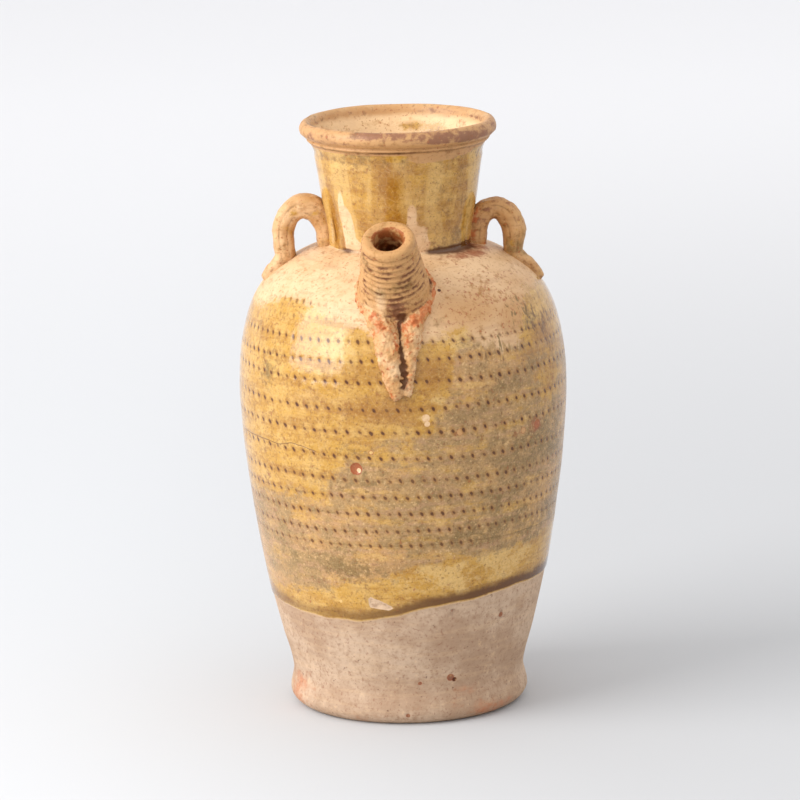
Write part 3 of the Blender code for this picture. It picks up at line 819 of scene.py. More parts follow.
def makeSpout():
    spout, luting = spoutForm, lutingForm
    near = spout["seatRadius"] - spout["baseRadius"]
    far = spout["seatRadius"] + luting["lean"] * spout["baseRadius"]
    tilt = math.degrees(math.atan2(far - near, shoulderHeight(near) - shoulderHeight(far)))
    place = onSeat(aimed(spout["seatTurn"], tilt)) @ Matrix.Translation((0, 0, -luting["sink"] * mm))
    circle = arc((0, 0), (luting["radius"],) * 2, luting["open"] - 90, 270 - luting["open"], 40)
    ring = sweptMesh([tuple(place @ Vector((x * mm, y * mm, 0)) / mm) for x, y in circle],
                     [luting["half"]] * len(circle))
    tube = spun(spoutLine(), spout["sides"], onSeat(aimed(spout["turn"], spout["tilt"])))
    fingers = [fingerMesh(path, luting["fingerSink"]) for path in (leftFinger, rightFinger)]
    middle = [(offset, depth, luting["webHalf"]) for depth, offset, _ in slit[1:-1]]
    web = fingerMesh(middle, luting["webSink"])
    mesh = fusedMesh("spoutClay", [tube, ring, *fingers, web], spout["voxel"])

    points = vertexValues(mesh, "co") / mm
    axis = np.array(aimed(spout["turn"], spout["tilt"]))
    seat = np.array(seatPoint()) / mm
    along = (points - seat) @ axis
    away = np.linalg.norm(points - seat - along[:, None] * axis, axis=1)
    right = np.cross((0, 0, 1), axis)
    right /= np.linalg.norm(right)
    around = np.degrees(np.arctan2((points - seat) @ right, -(points - seat) @ np.cross(axis, right)))
    wall = np.array([spoutRadius(a) for a in along])
    onTube = (1 - smoothStep(away - wall, 0.15, 0.9)) * smoothStep(along, -3.4, -2.4)
    pressed = 1 - onTube

    def lump(size, seed):
        return lumps(points, size, seed)

    def marked(places):
        return patches(around, along, 12, places)

    # pressed clay is lumpy and torn, the tube only a little uneven
    torn = 0.5 * lump(4.2, 2) + 0.45 * lump(1.9, 3) + 0.36 * lump(0.95, 4)
    small = 0.16 * lump(3.4, 5) + 0.08 * lump(1.1, 6) - 0.08
    smear = onTube * marked(spoutMarks["smear"])
    move = pressed * (torn + 0.1) + onTube * small + 0.3 * smear
    move = np.where(away < spout["bore"] + 0.6, 0.3 * move, move)
    depth = seat[2] - points[:, 2]
    line = np.array(smoothCurve(slit, 4))
    slitFar = points[:, 0] - seat[0] - np.interp(depth, line[:, 0], line[:, 1]) + 0.35 * lump(2.2, 18)
    slitWide = np.interp(depth, line[:, 0], line[:, 2]) * (0.95 + 1.1 * lump(1.4, 19))
    inSlit = pressed * bell(slitFar, 0, slitWide)
    inSlit *= smoothStep(depth, 8, 9.6) * (1 - smoothStep(depth, 33.5, 36))
    points += vertexValues(mesh, "normal") * (move - 0.9 * inSlit)[:, None]
    keptShallow(points, spout["inWall"])
    points[:, 1] = np.maximum(points[:, 1], lowCorner.y / mm + boxRoom)
    setPoints(mesh, points)

    # painted shade in the ring grooves, under the tube and its front, in the slit and deeper in the bore;
    # rust and red specks on the pressed clay, red in the bore
    side = points[:, 0] - seat[0]
    first = spout["length"] - spout["firstRing"]
    valley = np.cos(2 * math.pi * ((first - along) / spout["ringPitch"] + 0.12 * lump(7, 15))) * 0.5 + 0.5
    valley *= np.clip(0.65 + 1.1 * lump(4, 16), 0.15, 1.2)
    ringed = onTube * (away > spout["bore"] + 1.2) * smoothStep(first + 1.4 - along, 0, 0.8)
    hole = (away < spout["bore"] + 1.1) & (along < spout["length"] - 0.4)
    shadeUnderTube = onTube * marked(spoutMarks["shadeUnderTube"])
    grey = marked(spoutMarks["grey"])
    seed = lump(3.6, 14) + 0.5 * lump(1.3, 17)
    upper = 1 - smoothStep(depth, 11, 17)
    rightSide = smoothStep(side, 2, 8) * (1 - smoothStep(depth, 9, 13))
    spot = pressed * bell(side, -5.4, 1) * bell(depth, 21.5, 2.6)
    freckles = pressed * np.maximum((0.2 + 0.5 * seed) * upper, 0.12 + lump(1.5, 21))
    redBore = hole * (0.75 + 0.9 * lump(2.4, 20))
    darkBore = hole * (0.1 + 0.75 * smoothStep(-along, -25, -13) + 0.5 * lump(2, 22))
    dark = ringed * (0.45 * valley + 0.3 * grey) + 0.5 * shadeUnderTube
    # painted shade in the crevice under the tube's front
    under = bell(side, 2.4, 1.2 + 1.1 * smoothStep(-depth, -11, -8))
    under *= smoothStep(depth, 6.4, 7.4) * (1 - smoothStep(depth, 9.6, 11.5))
    giveMasks(
        mesh, bare=1.5, edgeRise=60, crack=9, chip=-9,
        warm=np.clip(0.95 * onTube + pressed * (0.6 + 0.6 * lump(4, 12)) - 0.7 * smear, 0, 1),
        mauve=onTube * 0.2 + ringed * 0.7 * valley * (1 - smear) + shadeUnderTube,
        olive=onTube * 0.3 + ringed * grey,
        rusty=pressed * np.clip(0.2 + 0.45 * upper + 0.5 * rightSide + 0.9 * seed, 0, 1.2) * (1 - hole),
        iron=np.maximum.reduce([redBore, 0.8 * spot, freckles]),
        shade=np.maximum.reduce([dark, darkBore, inSlit * 1.3, under * 1.2]),
    )
    return mesh


# Loop lugs: a strap of clay from the neck to the shoulder

lugForm = {
    "thick": 8.4,
    "wide": 9.7,
    "fullness": 2.6,
    "groove": 0.32,
    "across": (1, 0.9, 0.76, 0.56, 0.36, 0.18, 0, -0.18, -0.36, -0.56, -0.76, -0.9),
    "grooves": (0.36, -0.36),
    "voxel": 0.4,
    "inWall": 3.3,
}

# curve: centre line, as (share of the reach, share of the rise, share of the thickness)
leftLug = {
    "side": -1,
    "reach": 17.1,
    "rise": 14.2,
    "tail": 7.8,
    "legHeight": 178,   # where glaze is left on the outer leg, and the strengths of the masks
    "warm": 0.6,
    "mauve": 0.1,
    "rusty": 0.25,
    "iron": 0,
    "olive": 0.15,
    "curve": ((0.02, -0.1, 1), (0.03, 0.3, 1.02), (0.07, 0.62, 1.1), (0.2, 0.89, 1.2), (0.4, 1, 1.2),
              (0.62, 0.94, 1.13), (0.81, 0.76, 1.08), (0.955, 0.47, 1.04), (0.99, 0.17, 1.02),
              (0.965, -0.1, 0.99), (0.94, -0.32, 0.95)),
}
rightLug = {
    "side": 1,
    "reach": 16,
    "rise": 12,
    "tail": 9.3,
    "legHeight": 176,
    "warm": 0.85,
    "mauve": 0.42,
    "rusty": 1.3,
    "iron": 0.5,
    "olive": 0.6,
    "curve": ((0.07, -0.15, 1.06), (0.08, 0.3, 1.06), (0.12, 0.66, 1.06), (0.28, 0.93, 1.03), (0.52, 1.01, 1),
              (0.78, 0.81, 1.12), (0.94, 0.52, 1.13), (1, 0.24, 1.12), (0.98, -0.04, 1), (0.96, -0.3, 0.88),
              (0.99, -0.5, 0.84)),
}
tailCurve = ((0.38, 0.12, 0.84), (0.7, 0.2, 0.74), (1, 0.42, 0.6))


def strapSection():
    data = bpy.data.curves.new("strapSection", "CURVE")
    data.dimensions = "2D"
    spline = data.splines.new("POLY")
    spline.use_cyclic_u = True
    rounds = [(u, 1) for u in lugForm["across"]] + [(-u, -1) for u in lugForm["across"]]
    spline.points.add(len(rounds) - 1)
    for spot, (u, side) in zip(spline.points, rounds):
        width = math.sqrt(max(0, 1 - abs(u) ** lugForm["fullness"])) * lugForm["wide"] / 2
        near = min(abs(u - groove) for groove in lugForm["grooves"])
        width -= lugForm["groove"] * math.exp(-(near / 0.16) ** 2)
        spot.co = (side * width * mm, u * lugForm["thick"] / 2 * mm, 0, 1)
    return newObject("strapSection", data)


def makeLug(name, lug, seed):
    neckFoot = ewerForm["neck"][1]
    line = []
    for out, up, thick in lug["curve"]:
        height = neckFoot + up * lug["rise"]
        root = float(np.interp(max(height, neckFoot), neckLine[:, 1], neckLine[:, 0]))
        line.append((root + out * lug["reach"], height, thick * lugForm["thick"]))
    foot = line[-1][0]
    for along, sink, thick in tailCurve:
        radius = foot + along * lug["tail"]
        height = shoulderHeight(radius) - sink * thick * lugForm["thick"] / 2
        line.append((radius, height, thick * lugForm["thick"]))
    path = smoothCurve(line, 5)
    section = strapSection()
    strap = sweptMesh([(lug["side"] * r, 0, z) for r, z, _ in path],
                      [thick / lugForm["thick"] for _, _, thick in path], section)
    bpy.data.objects.remove(section)
    mesh = fusedMesh(name, [strap], lugForm["voxel"])
    points = vertexValues(mesh, "co") / mm

    def lump(size, more):
        return lumps(points, size, seed + more)

    move = 0.36 * lump(6, 0) + 0.2 * lump(2.4, 1) + 0.09 * lump(1, 2)
    onTail = smoothStep(np.abs(points[:, 0]), 44, 48) * (1 - smoothStep(points[:, 2], 172, 176))
    move += onTail * (0.5 * lump(3.5, 3) + 0.35)
    points += vertexValues(mesh, "normal") * (move - 0.12)[:, None]
    keptShallow(points, lugForm["inWall"])
    points[:, 0] = np.clip(points[:, 0], lowCorner.x / mm + boxRoom, highCorner.x / mm - boxRoom)
    setPoints(mesh, points)

    # painted shade in the lines drawn along the strap, a share of its half thickness from the middle
    side = np.stack([np.abs(points[:, 0]), points[:, 2]], axis=1)
    across = np.zeros(len(points))
    nearest = np.full(len(points), 1e9)
    for a, b in zip(np.array(path), np.array(path[1:])):
        way = (b - a)[:2]
        length = math.hypot(*way)
        gap = side - a[:2]
        gap -= np.clip(gap @ way / length ** 2, 0, 1)[:, None] * way
        far = np.hypot(*gap.T)
        signed = (gap[:, 0] * way[1] - gap[:, 1] * way[0]) / length / (a[2] / 2)
        across = np.where(far < nearest, signed, across)
        nearest = np.minimum(far, nearest)
    drawnLine = bell(np.abs(across), 0.36, 0.09) * (np.abs(points[:, 1]) > 2.5)
    drawnLine *= np.clip(0.6 + 1.2 * lump(4, 9), 0, 1)
    radius = radiusOf(points)
    depth, _ = claySurface(radius, points[:, 2])
    high = smoothStep(points[:, 2], 176, 190)
    near = bell(depth, -0.5, 1.3)
    neckSide = near * (1 - smoothStep(radius, 32, 38))
    outerLeg = bell(points[:, 2], lug["legHeight"], 6) * (side[:, 0] > 40)
    giveMasks(
        mesh, edgeRise=60, crack=9, chip=-9,
        bare=0.55 + 0.8 * lump(4, 4),
        warm=lug["warm"] + 0.4 * lump(6, 5),
        mauve=lug["mauve"] * high + 0.45 * lump(3, 6),
        rusty=lug["rusty"] * neckSide * (0.7 + lump(3, 7)),
        iron=lug["iron"] * near * (0.5 + lump(2, 8)),
        olive=0.2 + lug["olive"] * outerLeg,
        # painted shade where the strap meets the pot and in its drawn lines
        shade=np.maximum(0.3 * near, 0.5 * drawnLine),
    )
    return mesh


# Materials

def linearColour(code):
    # an sRGB hex code as linear colour
    parts = [int(code[i:i + 2], 16) / 255 for i in (1, 3, 5)]
    return [*(c / 12.92 if c <= 0.04045 else ((c + 0.055) / 1.055) ** 2.4 for c in parts), 1]


def addNode(tree, kind, inputs=None, out=0, **settings):
    # one node with its settings and links: an input, by number, is a constant or another node's socket
    node = tree.nodes.new("ShaderNode" + kind)
    for name, value in settings.items():
        setattr(node, name, value)
    for number, value in (inputs or {}).items():
        if isinstance(value, bpy.types.NodeSocket):
            tree.links.new(value, node.inputs[number])
        else:
            node.inputs[number].default_value = value
    return node.outputs[out] if len(node.outputs) else node


clayColours = {
    "amber": "#C0903A",
    "deep": "#986420",
    "pale": "#D8B06C",
    "olive": "#7A6032",
    "pooled": "#60390F",
    "weathered": "#AF895B",
    "khaki": "#8C7048",
    "blush": "#B78B69",
    "slip": "#F2D0A0",
    "cream": "#E0BB90",
    "tan": "#C2925E",
    "foot": "#C2A68C",
    "footDark": "#9E7C60",
    "rusty": "#C46C3A",
    "brick": "#A0582F",
    "mauve": "#86543C",
    "iron": "#93400F",
    "dark": "#4C2000",
    "chip": "#D0B090",
}

# noises in the clay and the glaze: size of a feature in millimetres, detail, roughness, scale along
# each axis (a small one draws the feature out that way) and place; real clay is finer, and the grain
# and specks are drawn as coarse as they show in the photo
clayGrains = {
    "broad": (14, 2, 0.55, (1, 1, 1), 0.1),
    "cloud": (4.2, 5, 0.68, (0.75, 0.75, 1.25), 0.2),
    "mottle": (2.2, 4, 0.7, (1, 1, 1), 1.4),
    "fine": (1.3, 4, 0.7, (1, 1, 1), 0.3),
    "tiny": (0.5, 2, 0.55, (1, 1, 1), 0.4),
    "grit": (0.8, 1, 0.55, (1, 1, 1), 1.1),
    "pinholes": (0.9, 2, 0.55, (1, 1, 1), 0.9),
    "streak": (1.2, 3, 0.6, (1, 1, 0.1), 0.5),
    "run": (4.5, 2, 0.5, (1, 1, 0.14), 0.8),
    "thrown": (1.1, 3, 0.6, (0.12, 0.12, 1), 0.6),
    "band": (2.6, 3, 0.6, (0.12, 0.12, 1), 0.7),
}

# masks that the meshes carry as attributes
clayMasks = (
    "bare", "weather", "brushed", "drawn", "edgeRise", "pool", "olive", "deep", "pale", "rusty", "warm",
    "specky", "iron", "mauve", "shade", "inner", "chip", "dots", "lines", "crack",
)

# layers of colour: colour, what shows it, from and to which value, strength, and masks it is held to
glazeLayers = (
    ("pale", {"cloud": 1}, (-0.1, 0.1), 0.5),
    ("deep", {"fine": 1}, (-0.02, 0.16), 0.4),
    ("deep", {"thrown": 1}, (0, 0.14), 0.35),
    ("deep", {"band": 1, "fine": 0.3}, (0, 0.13), 0.5),
    ("deep", {"streak": 1}, (-0.06, 0.14), 0.25, "drawn"),
    ("deep", {"run": 1, "fine": 0.2}, (0, 0.12), 0.45, "drawn"),
    ("pale", {"run": -1, "fine": 0.2}, (-0.01, 0.1), 0.5, "drawn"),
    ("deep", {"deep": 1, "fine": 0.8, "cloud": 0.8}, (0.1, 0.95), 0.85),
    ("pale", {"pale": 1, "fine": 1.4, "cloud": 1.8}, (0.3, 0.65), 0.85),
)
weatheredLayers = (
    ("khaki", {"fine": 1, "tiny": 0.2, "cloud": 0.8}, (-0.18, 0.2), 0.8),
    ("khaki", {"band": 1, "cloud": 0.6, "fine": 0.3}, (0, 0.16), 0.55),
    ("amber", {"band": -1, "cloud": -0.9, "fine": 0.4}, (0.03, 0.2), 0.65),
    ("tan", {"broad": 1, "cloud": -0.7, "fine": 0.5}, (0.04, 0.2), 0.6),
    ("blush", {"thrown": 1, "mottle": 0.8}, (0, 0.16), 0.5),
    ("pale", {"cloud": -1, "fine": -0.5, "band": -0.4}, (0.06, 0.22), 0.5),
)
overGlazeLayers = (
    ("olive", {"olive": 1, "cloud": 1.6, "fine": 2.6}, (0.15, 1), 0.8),
    ("olive", {"net": 1}, (0.07, 0), 0.25),
    ("cream", {"wideNet": 1}, (0.06, 0), 0.12),
    ("pooled", {"tiny": 1, "drawn": -0.02}, (0.08, 0.2), 0.5),
    ("pale", {"tiny": -1, "drawn": -0.03}, (0.08, 0.2), 0.35),
    ("cream", {"tiny": 1}, (-0.12, -0.2), 0.35, "weathering"),
    ("pooled", {"stroke": 1, "fine": 0.3}, (0.02, 0.14), 0.8),
    ("pooled", {"edgeRise": 1, "cloud": 4, "fine": 2}, (6.2, 2.4), 1, "pool", "aboveEdge"),
)
clayLayers = (
    ("tan", {"warm": 1}, (0, 1), 1),
    # the inside of the mouth: pale clay painted paler, as painted light bounced into it
    ("slip", {"inner": 1, "cloud": 2, "fine": 1}, (0.3, 1.3), 0.95),
    ("tan", {"cloud": 1}, (-0.04, 0.14), 0.35),
    ("deep", {"fine": 1, "inner": -0.05}, (0, 0.18), 0.35),
    ("mauve", {"thrown": 1, "inner": -0.1}, (0.02, 0.16), 0.18),
    ("mauve", {"mauve": 1, "fine": 2.4, "cloud": 1.2, "thrown": 1.2, "inner": -0.2}, (0.45, 1.15), 0.85),
    ("olive", {"olive": 1, "fine": 1.4, "cloud": 1.2}, (0.3, 1), 0.7),
    ("mauve", {"tiny": 1, "inner": -0.03}, (0.11, 0.19), 0.35),
    ("tan", {"inner": 1, "fine": 1.5, "cloud": 2.5}, (1.05, 1.55), 0.5),
    ("deep", {"fine": 1, "cloud": 0.5, "specky": 0.2}, (0.14, 0.34), 0.5),
    ("brick", {"tiny": 1, "grit": 0.5, "specky": 0.12}, (0.14, 0.26), 0.6),
    ("olive", {"stroke": 1, "fine": 0.3}, (0.04, 0.14), 0.9),
)
footLayers = (
    ("footDark", {"cloud": 0.5, "broad": 1}, (-0.12, 0.14), 0.65),
    ("footDark", {"fine": 1, "tiny": 0.3}, (-0.08, 0.24), 0.65),
    ("cream", {"fine": -1, "tiny": -0.3, "cloud": -0.5}, (0.08, 0.3), 0.4),
    ("cream", {"thrown": 1}, (0, 0.12), 0.12),
    ("rusty", {"rusty": 1, "cloud": 1.2, "fine": 0.6}, (0.25, 0.95), 0.7),
    ("mauve", {"tiny": 1}, (0.1, 0.18), 0.45),
    ("dark", {"pinholes": 1}, (0.19, 0.25), 0.6),
)
overLayers = (
    ("cream", {"edgeRise": 1, "fine": 0.9}, (0.75, 0.3), 0.55, "edgeStart"),
    ("rusty", {"rusty": 1, "fine": 3, "tiny": 1.5, "cloud": 0.8}, (0.4, 1.2), 0.8, "glazed"),
    ("iron", {"iron": 1, "fine": 1.8}, (0.3, 0.95), 0.75),
    ("chip", {"chip": 1}, (-0.12, 0.12), 1),
    ("footDark", {"fine": 1}, (-0.08, 0.12), 0.8, "inChip"),
    ("chip", {"chip": 1}, (0.6, 0.3), 0.8, "inChip"),
    ("dark", {"shade": 1, "fine": 1}, (0.05, 0.95), 0.9),
    ("pooled", {"crackFar": 1}, (0.3, 0.08), 0.7),
)
dotLayers = (
    ("olive", {"scoredFar": 1}, (0.35, 0.1), 0.8, "lines", "uneven"),
    ("deep", {"dotFar": 1}, (2.1, 0.6), 0.6, "press"),
    ("dark", {"dotFar": 1}, (0.98, 0.4), 1, "press"),
    ("pooled", {"dotFar": 1}, (0.98, 0.4), 0.7, "press", "luckB"),
)


def summed(tree, sources, weights, start=0.0):
    # the named sources added together, each by its weight
    total = start
    for name, weight in weights.items():
        total = addNode(tree, "Math", {0: sources[name], 1: weight, 2: total}, operation="MULTIPLY_ADD")
    return total


def shown(tree, sources, weights, reach, strength=1.0, within=()):
    # how far something shows: nothing at the first value of its reach, all of its strength at the second
    total = summed(tree, sources, weights)
    share = addNode(tree, "MapRange", {0: total, 1: reach[0], 2: reach[1], 3: 0.0, 4: strength},
                    interpolation_type="SMOOTHSTEP")
    for name in within:
        share = addNode(tree, "Math", {0: share, 1: sources[name]}, operation="MULTIPLY", use_clamp=True)
    return share


def layered(tree, sources, surface, layers):
    # layers of colour laid over a surface, one after another
    for colour, weights, reach, strength, *within in layers:
        share = shown(tree, sources, weights, reach, strength, within)
        over = linearColour(clayColours[colour])
        surface = addNode(tree, "Mix", {0: share, 6: surface, 7: over}, 2, data_type="RGBA")
    return surface


def claySources(tree, place):
    # the noises, each around 0, the masks of the mesh, and what follows from them
    sources = {}
    for name, (size, detail, rough, stretch, shift) in clayGrains.items():
        moved = addNode(tree, "Mapping", {0: place, 1: (shift, shift * 0.7, -shift), 3: stretch})
        noisy = addNode(tree, "TexNoise", {"Vector": moved, "Scale": 0.5 / (size * mm), "Detail": detail,
                                           "Roughness": rough})
        sources[name] = addNode(tree, "Math", {0: noisy, 1: 0.5}, operation="SUBTRACT")
    for name in clayMasks:
        sources[name] = addNode(tree, "Attribute", out=2, attribute_name=name)
    for name, size, shift in (("net", 1.7, 0.0), ("wideNet", 2.6, 0.05)):  # the crackle, in millimetres
        moved = addNode(tree, "Mapping", {0: place, 1: (shift, shift, shift)})
        sources[name] = addNode(tree, "TexVoronoi", {"Vector": moved, "Scale": 1 / (size * mm)},
                                feature="DISTANCE_TO_EDGE")
    brushed, streak = sources["brushed"], sources["streak"]
    sources["stroke"] = addNode(tree, "Math", {0: brushed, 1: streak}, operation="MULTIPLY")
    wandering = summed(tree, sources, {"crack": 1, "fine": 0.7})
    sources["crackFar"] = addNode(tree, "Math", {0: wandering}, operation="ABSOLUTE")
    for name, weights, reach, strength in (
        ("worn", {"bare": 1, "cloud": 1.6, "fine": 1.6, "stroke": 4}, (-0.35, 0.4), 1),
        ("glazed", {"edgeRise": 1, "fine": 0.9}, (-0.15, 0.15), 1),
        ("edgeStart", {"edgeRise": 1, "fine": 0.9}, (-0.5, 0), 1),
        ("aboveEdge", {"edgeRise": 1}, (0.5, 1.2), 1),
        ("weathering", {"weather": 1, "cloud": 2.4, "fine": 1.6}, (-0.35, 0.5), 0.9),
        ("inChip", {"chip": 1}, (-0.12, 0.12), 1),
        ("crackLine", {"crackFar": 1}, (0.3, 0.08), 1),
    ):
        sources[name] = shown(tree, sources, weights, reach, strength)
    return sources


def pockedSurface(tree, sources, place, surface):
    # round pocks in the glaze, each by its own place on the wall, with an iron-red rim that is partly painted
    # shade
    for turn, level, size, key, border in bodyMarks["pocks"]:
        r = float(bodyRadius(level))
        a = math.radians(turn)
        middle = (r * math.sin(a) * mm, -r * math.cos(a) * mm, level * mm)
        sources["pock"] = addNode(tree, "VectorMath", {0: place, 1: middle}, 1, operation="DISTANCE")
        sources["pock"] = summed(tree, sources, {"pock": 1 / (size * mm), "fine": 0.5})
        sources["inPock"] = shown(tree, sources, {"pock": 1}, (1.05, 0.9))
        sources["pockEdge"] = shown(tree, sources, {"pock": 1}, (1.2, 1))
        surface = layered(tree, sources, surface, (
            (key, {"pock": 1}, (1.05, 0.9), 1),
            ("tan", {"fine": 1}, (-0.04, 0.16), 0.7, "inPock"),
            ("iron", {"pock": 1}, (0.7, 0.95), border, "pockEdge"),
        ))
    return surface


def dottedSurface(tree, sources, surface):
    # each cell of the rows map holds one dot: a slanted comma, pressed more or less deeply
    parts = addNode(tree, "SeparateXYZ", {0: addNode(tree, "UVMap", uv_map="dotRows")}).node.outputs
    sources["u"], sources["v"] = parts[0], parts[1]
    sources["cell"] = addNode(tree, "Math", {0: sources["u"]}, operation="FLOOR")
    sources["row"] = addNode(tree, "Math", {0: summed(tree, sources, {"v": 1}, 0.5)}, operation="FLOOR")
    key = addNode(tree, "CombineXYZ", {0: sources["cell"], 1: sources["row"]})
    chance = addNode(tree, "TexWhiteNoise", {"Vector": key}, noise_dimensions="2D").node.outputs
    luck = addNode(tree, "SeparateColor", {0: chance[1]}).node.outputs
    sources["chance"], sources["luckA"], sources["luckB"], sources["luckC"] = chance[0], *luck
    for name, weights, start in (
        ("across", {"u": 4.6, "cell": -4.6, "luckA": 0.55}, -2.576),
        ("down", {"v": 5, "row": -5, "luckB": 0.3}, -0.15),
        ("slant", {"across": 1, "down": 0.3}, 0),
        ("drop", {"down": 1, "slant": 0.15}, 0),
        ("wider", {"luckC": -0.3}, 1.3),
        ("taller", {"luckA": -0.25}, 1.15),
        ("ragged", {"down": 1, "tiny": 0.28, "fine": 0.36}, 0),
        ("uneven", {"cloud": 3}, 0.7),
    ):
        sources[name] = summed(tree, sources, weights, start)
    wide = addNode(tree, "Math", {0: sources["slant"], 1: sources["wider"]}, operation="MULTIPLY")
    tall = addNode(tree, "Math", {0: sources["drop"], 1: sources["taller"]}, operation="MULTIPLY")
    spot = addNode(tree, "CombineXYZ", {0: wide, 1: tall})
    sources["dotFar"] = addNode(tree, "VectorMath", {0: spot}, 1, operation="LENGTH")
    sources["dotFar"] = summed(tree, sources, {"dotFar": 1, "tiny": 0.7, "fine": 0.9})
    pressed = addNode(tree, "MapRange", {0: sources["chance"], 1: 0, 2: 0.5, 3: 0.5, 4: 1})
    pressed = {0: pressed, 1: sources["dots"]}
    sources["press"] = addNode(tree, "Math", pressed, operation="MULTIPLY", use_clamp=True)
    sources["scoredFar"] = addNode(tree, "Math", {0: sources["ragged"]}, operation="ABSOLUTE")
    return layered(tree, sources, surface, dotLayers)


def glazedClay(name, usesRows, ior):
    # stoneware under a thin honey glaze: glossy, finely crackled and mottled where the glaze lies on the
    # clay, dry and buff where it is worn away, with brown marks of the chattering tool
    material = bpy.data.materials.new(name)
    material.use_nodes = True
    tree = material.node_tree
    tree.nodes.clear()
    place = addNode(tree, "TexCoord", out=3)
    sources = claySources(tree, place)

    glaze = layered(tree, sources, linearColour(clayColours["amber"]), glazeLayers)
    dull = layered(tree, sources, linearColour(clayColours["weathered"]), weatheredLayers)
    glaze = addNode(tree, "Mix", {0: sources["weathering"], 6: glaze, 7: dull}, 2, data_type="RGBA")
    glaze = layered(tree, sources, glaze, overGlazeLayers)
    clay = layered(tree, sources, linearColour(clayColours["cream"]), clayLayers)
    foot = layered(tree, sources, linearColour(clayColours["foot"]), footLayers)
    worn, glazed = sources["worn"], sources["glazed"]
    surface = addNode(tree, "Mix", {0: worn, 6: glaze, 7: clay}, 2, data_type="RGBA")
    surface = addNode(tree, "Mix", {0: glazed, 6: foot, 7: surface}, 2, data_type="RGBA")
    surface = layered(tree, sources, surface, overLayers)
    if usesRows:
        surface = pockedSurface(tree, sources, place, surface)
        surface = dottedSurface(tree, sources, surface)

    # gloss of the glaze, and the dry clay
    shiny = addNode(tree, "MapRange", {0: sources["fine"], 1: -0.2, 2: 0.2, 3: 0.08, 4: 0.18})
    shiny = addNode(tree, "Math", {0: sources["weathering"], 1: 0.14, 2: shiny}, operation="MULTIPLY_ADD")
    dry = addNode(tree, "MapRange", {0: sources["fine"], 1: -0.2, 2: 0.2, 3: 0.42, 4: 0.6})
    rough = addNode(tree, "Mix", {0: worn, 2: shiny, 3: dry}, data_type="FLOAT")
    rough = addNode(tree, "Mix", {0: glazed, 2: 0.82, 3: rough}, data_type="FLOAT")

    # relief in millimetres: a little on the glaze, more on the open clay
    unglazed = addNode(tree, "Math", {0: 1.0, 1: glazed}, operation="SUBTRACT")
    openClay = addNode(tree, "Math", {0: worn, 1: unglazed}, operation="MAXIMUM")
    gritty = summed(tree, sources, {"fine": 0.14, "tiny": 0.06, "thrown": 0.06})
    sources["gritty"] = addNode(tree, "Math", {0: gritty, 1: openClay}, operation="MULTIPLY")
    heights = {"fine": 0.06, "tiny": 0.02, "cloud": 0.12, "gritty": 1, "crackLine": -0.15}
    relief = summed(tree, sources, heights)
    bump = addNode(tree, "Bump", {"Strength": 0.5, "Distance": mm, "Height": relief})
    coat = {"Base Color": surface, "Roughness": rough, "IOR": ior, "Normal": bump}
    shader = addNode(tree, "BsdfPrincipled", coat)
    addNode(tree, "OutputMaterial", {"Surface": shader})
    return material


def finish(name, mesh, material):
    mesh.name = name
    made = newObject(name, mesh)
    mesh.materials.clear()
    mesh.materials.append(material)
    mesh.polygons.foreach_set("use_smooth", [True] * len(mesh.polygons))
    mesh.update()
    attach(made, "root")
    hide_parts("ewer")
    print(made.name, "triangles", sum(len(p.vertices) - 2 for p in mesh.polygons))
    return made


def boredMesh(mesh):
    # the hole through the shoulder under the spout
    cut = bmesh.new()
    radius = spoutForm["wallBore"] * mm
    bmesh.ops.create_cone(cut, cap_ends=True, segments=64, radius1=radius, radius2=radius, depth=26 * mm)
    bmesh.ops.transform(cut, matrix=onSeat(aimed(spoutForm["turn"], spoutForm["tilt"])), verts=cut.verts)
    tool = newObject("borer", meshOf(cut, "borer"))
    made = newObject("bored", mesh)
    bore = made.modifiers.new("Bore", "BOOLEAN")
    bore.object = tool
    bore.operation = "DIFFERENCE"
    bore.solver = "EXACT"
    result = appliedMesh(made)
    bpy.data.objects.remove(made)
    bpy.data.objects.remove(tool)
    bpy.data.meshes.remove(mesh)
    return result


# The four meshes of the ewer

bodyMaterial = glazedClay("Honey-glazed stoneware", True, 1.52)
clayMaterial = glazedClay("Worn stoneware of spout and lugs", False, 1.33)

bodyMesh = makeBody()
shapeBody(bodyMesh)
ewerBody = finish("ewerBody", boredMesh(bodyMesh), bodyMaterial)
print("body done")
ewerSpout = finish("ewerSpout", makeSpout(), clayMaterial)
print("spout done")
lugLeft = finish("lugLeft", makeLug("lugLeftClay", leftLug, 21.0), clayMaterial)
lugRight = finish("lugRight", makeLug("lugRightClay", rightLug, 33.0), clayMaterial)
print("lugs done")


# Stage, light and camera

stageForm = {"half": 2.6, "front": -3.4, "behind": 3.2, "round": 0.6, "high": 2.4}


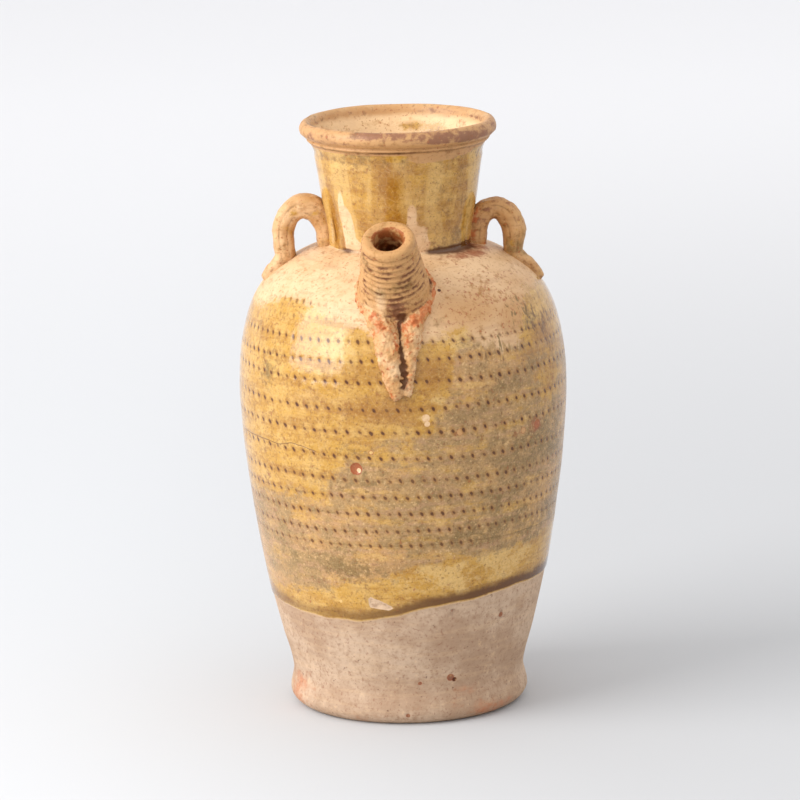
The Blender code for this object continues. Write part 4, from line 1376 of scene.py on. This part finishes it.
def makeStage():
    # a pale floor that curves up into the backdrop
    curve, half = stageForm["round"], stageForm["half"]
    low = arc((stageForm["behind"], curve), (curve,) * 2, -90, 0, 24)
    line = [(stageForm["front"], 0.0)] + low + [(stageForm["behind"] + curve, stageForm["high"])]
    form = bmesh.new()
    left, right = ([form.verts.new((x, y, z)) for y, z in line] for x in (-half, half))
    for i in range(len(line) - 1):
        form.faces.new((left[i], right[i], right[i + 1], left[i + 1]))
    mesh = meshOf(form, "stage", 0.001)
    made = newObject("stage", mesh)
    mesh.polygons.foreach_set("use_smooth", [True] * len(mesh.polygons))
    # matt white studio paper, painted a little darker to the right and in front as a painted falloff of the
    # softbox's light
    paper = bpy.data.materials.new("Studio paper")
    paper.use_nodes = True
    tree = paper.node_tree
    tree.nodes.clear()
    shade = (0.62, 0.63, 0.65, 1.0)
    parts = addNode(tree, "SeparateXYZ", {0: addNode(tree, "TexCoord", out=3)}).node.outputs
    for axis, start, end, colour in (
        (0, -0.16, 0.1, (0.545, 0.55, 0.565, 1.0)),
        (1, 0.1, 1.6, (0.83, 0.83, 0.85, 1.0)),
    ):
        share = addNode(tree, "MapRange", {0: parts[axis], 1: start, 2: end}, interpolation_type="SMOOTHSTEP")
        shade = addNode(tree, "Mix", {0: share, 6: shade, 7: colour}, 2, data_type="RGBA")
    cover = addNode(tree, "BsdfPrincipled", {"Base Color": shade, "Roughness": 0.9})
    addNode(tree, "OutputMaterial", {"Surface": cover})
    mesh.materials.append(paper)
    return made


stage = makeStage()

softbox = bpy.data.lights.new("Softbox", "AREA")
softbox.shape = "RECTANGLE"
softbox.size = 1.063
softbox.size_y = 1.247
softbox.energy = 21.0
softbox.color = (1.0, 0.995, 0.985)
softboxLamp = bpy.data.objects.new("Softbox", softbox)
bpy.context.scene.collection.objects.link(softboxLamp)
softboxLamp.location = (-1.133, -0.547, 0.736)
aim = Vector((-0.03, -0.02, 0.12)) - softboxLamp.location
softboxLamp.rotation_euler = aim.to_track_quat("-Z", "Y").to_euler()

world = bpy.data.worlds.new("Studio")
world.use_nodes = True
background = world.node_tree.nodes["Background"]
background.inputs[0].default_value = (1.0, 1.0, 1.0, 1.0)
background.inputs[1].default_value = 1.05
bpy.context.scene.world = world
bpy.context.scene.view_settings.view_transform = "Standard"

cameraData = bpy.data.cameras.new("Camera")
cameraData.lens = 224.9
cameraData.sensor_width = 36.0
cameraData.clip_end = 20.0
camera = bpy.data.objects.new("Camera", cameraData)
bpy.context.scene.collection.objects.link(camera)
camera.matrix_world = (
    Matrix.Translation((-0.0013, -1.86075, 0.522))
    @ Matrix.Rotation(math.radians(77.697), 4, "X")
    @ Matrix.Rotation(math.radians(-1.18), 4, "Z")
)
bpy.context.scene.camera = camera

print("scene ready")
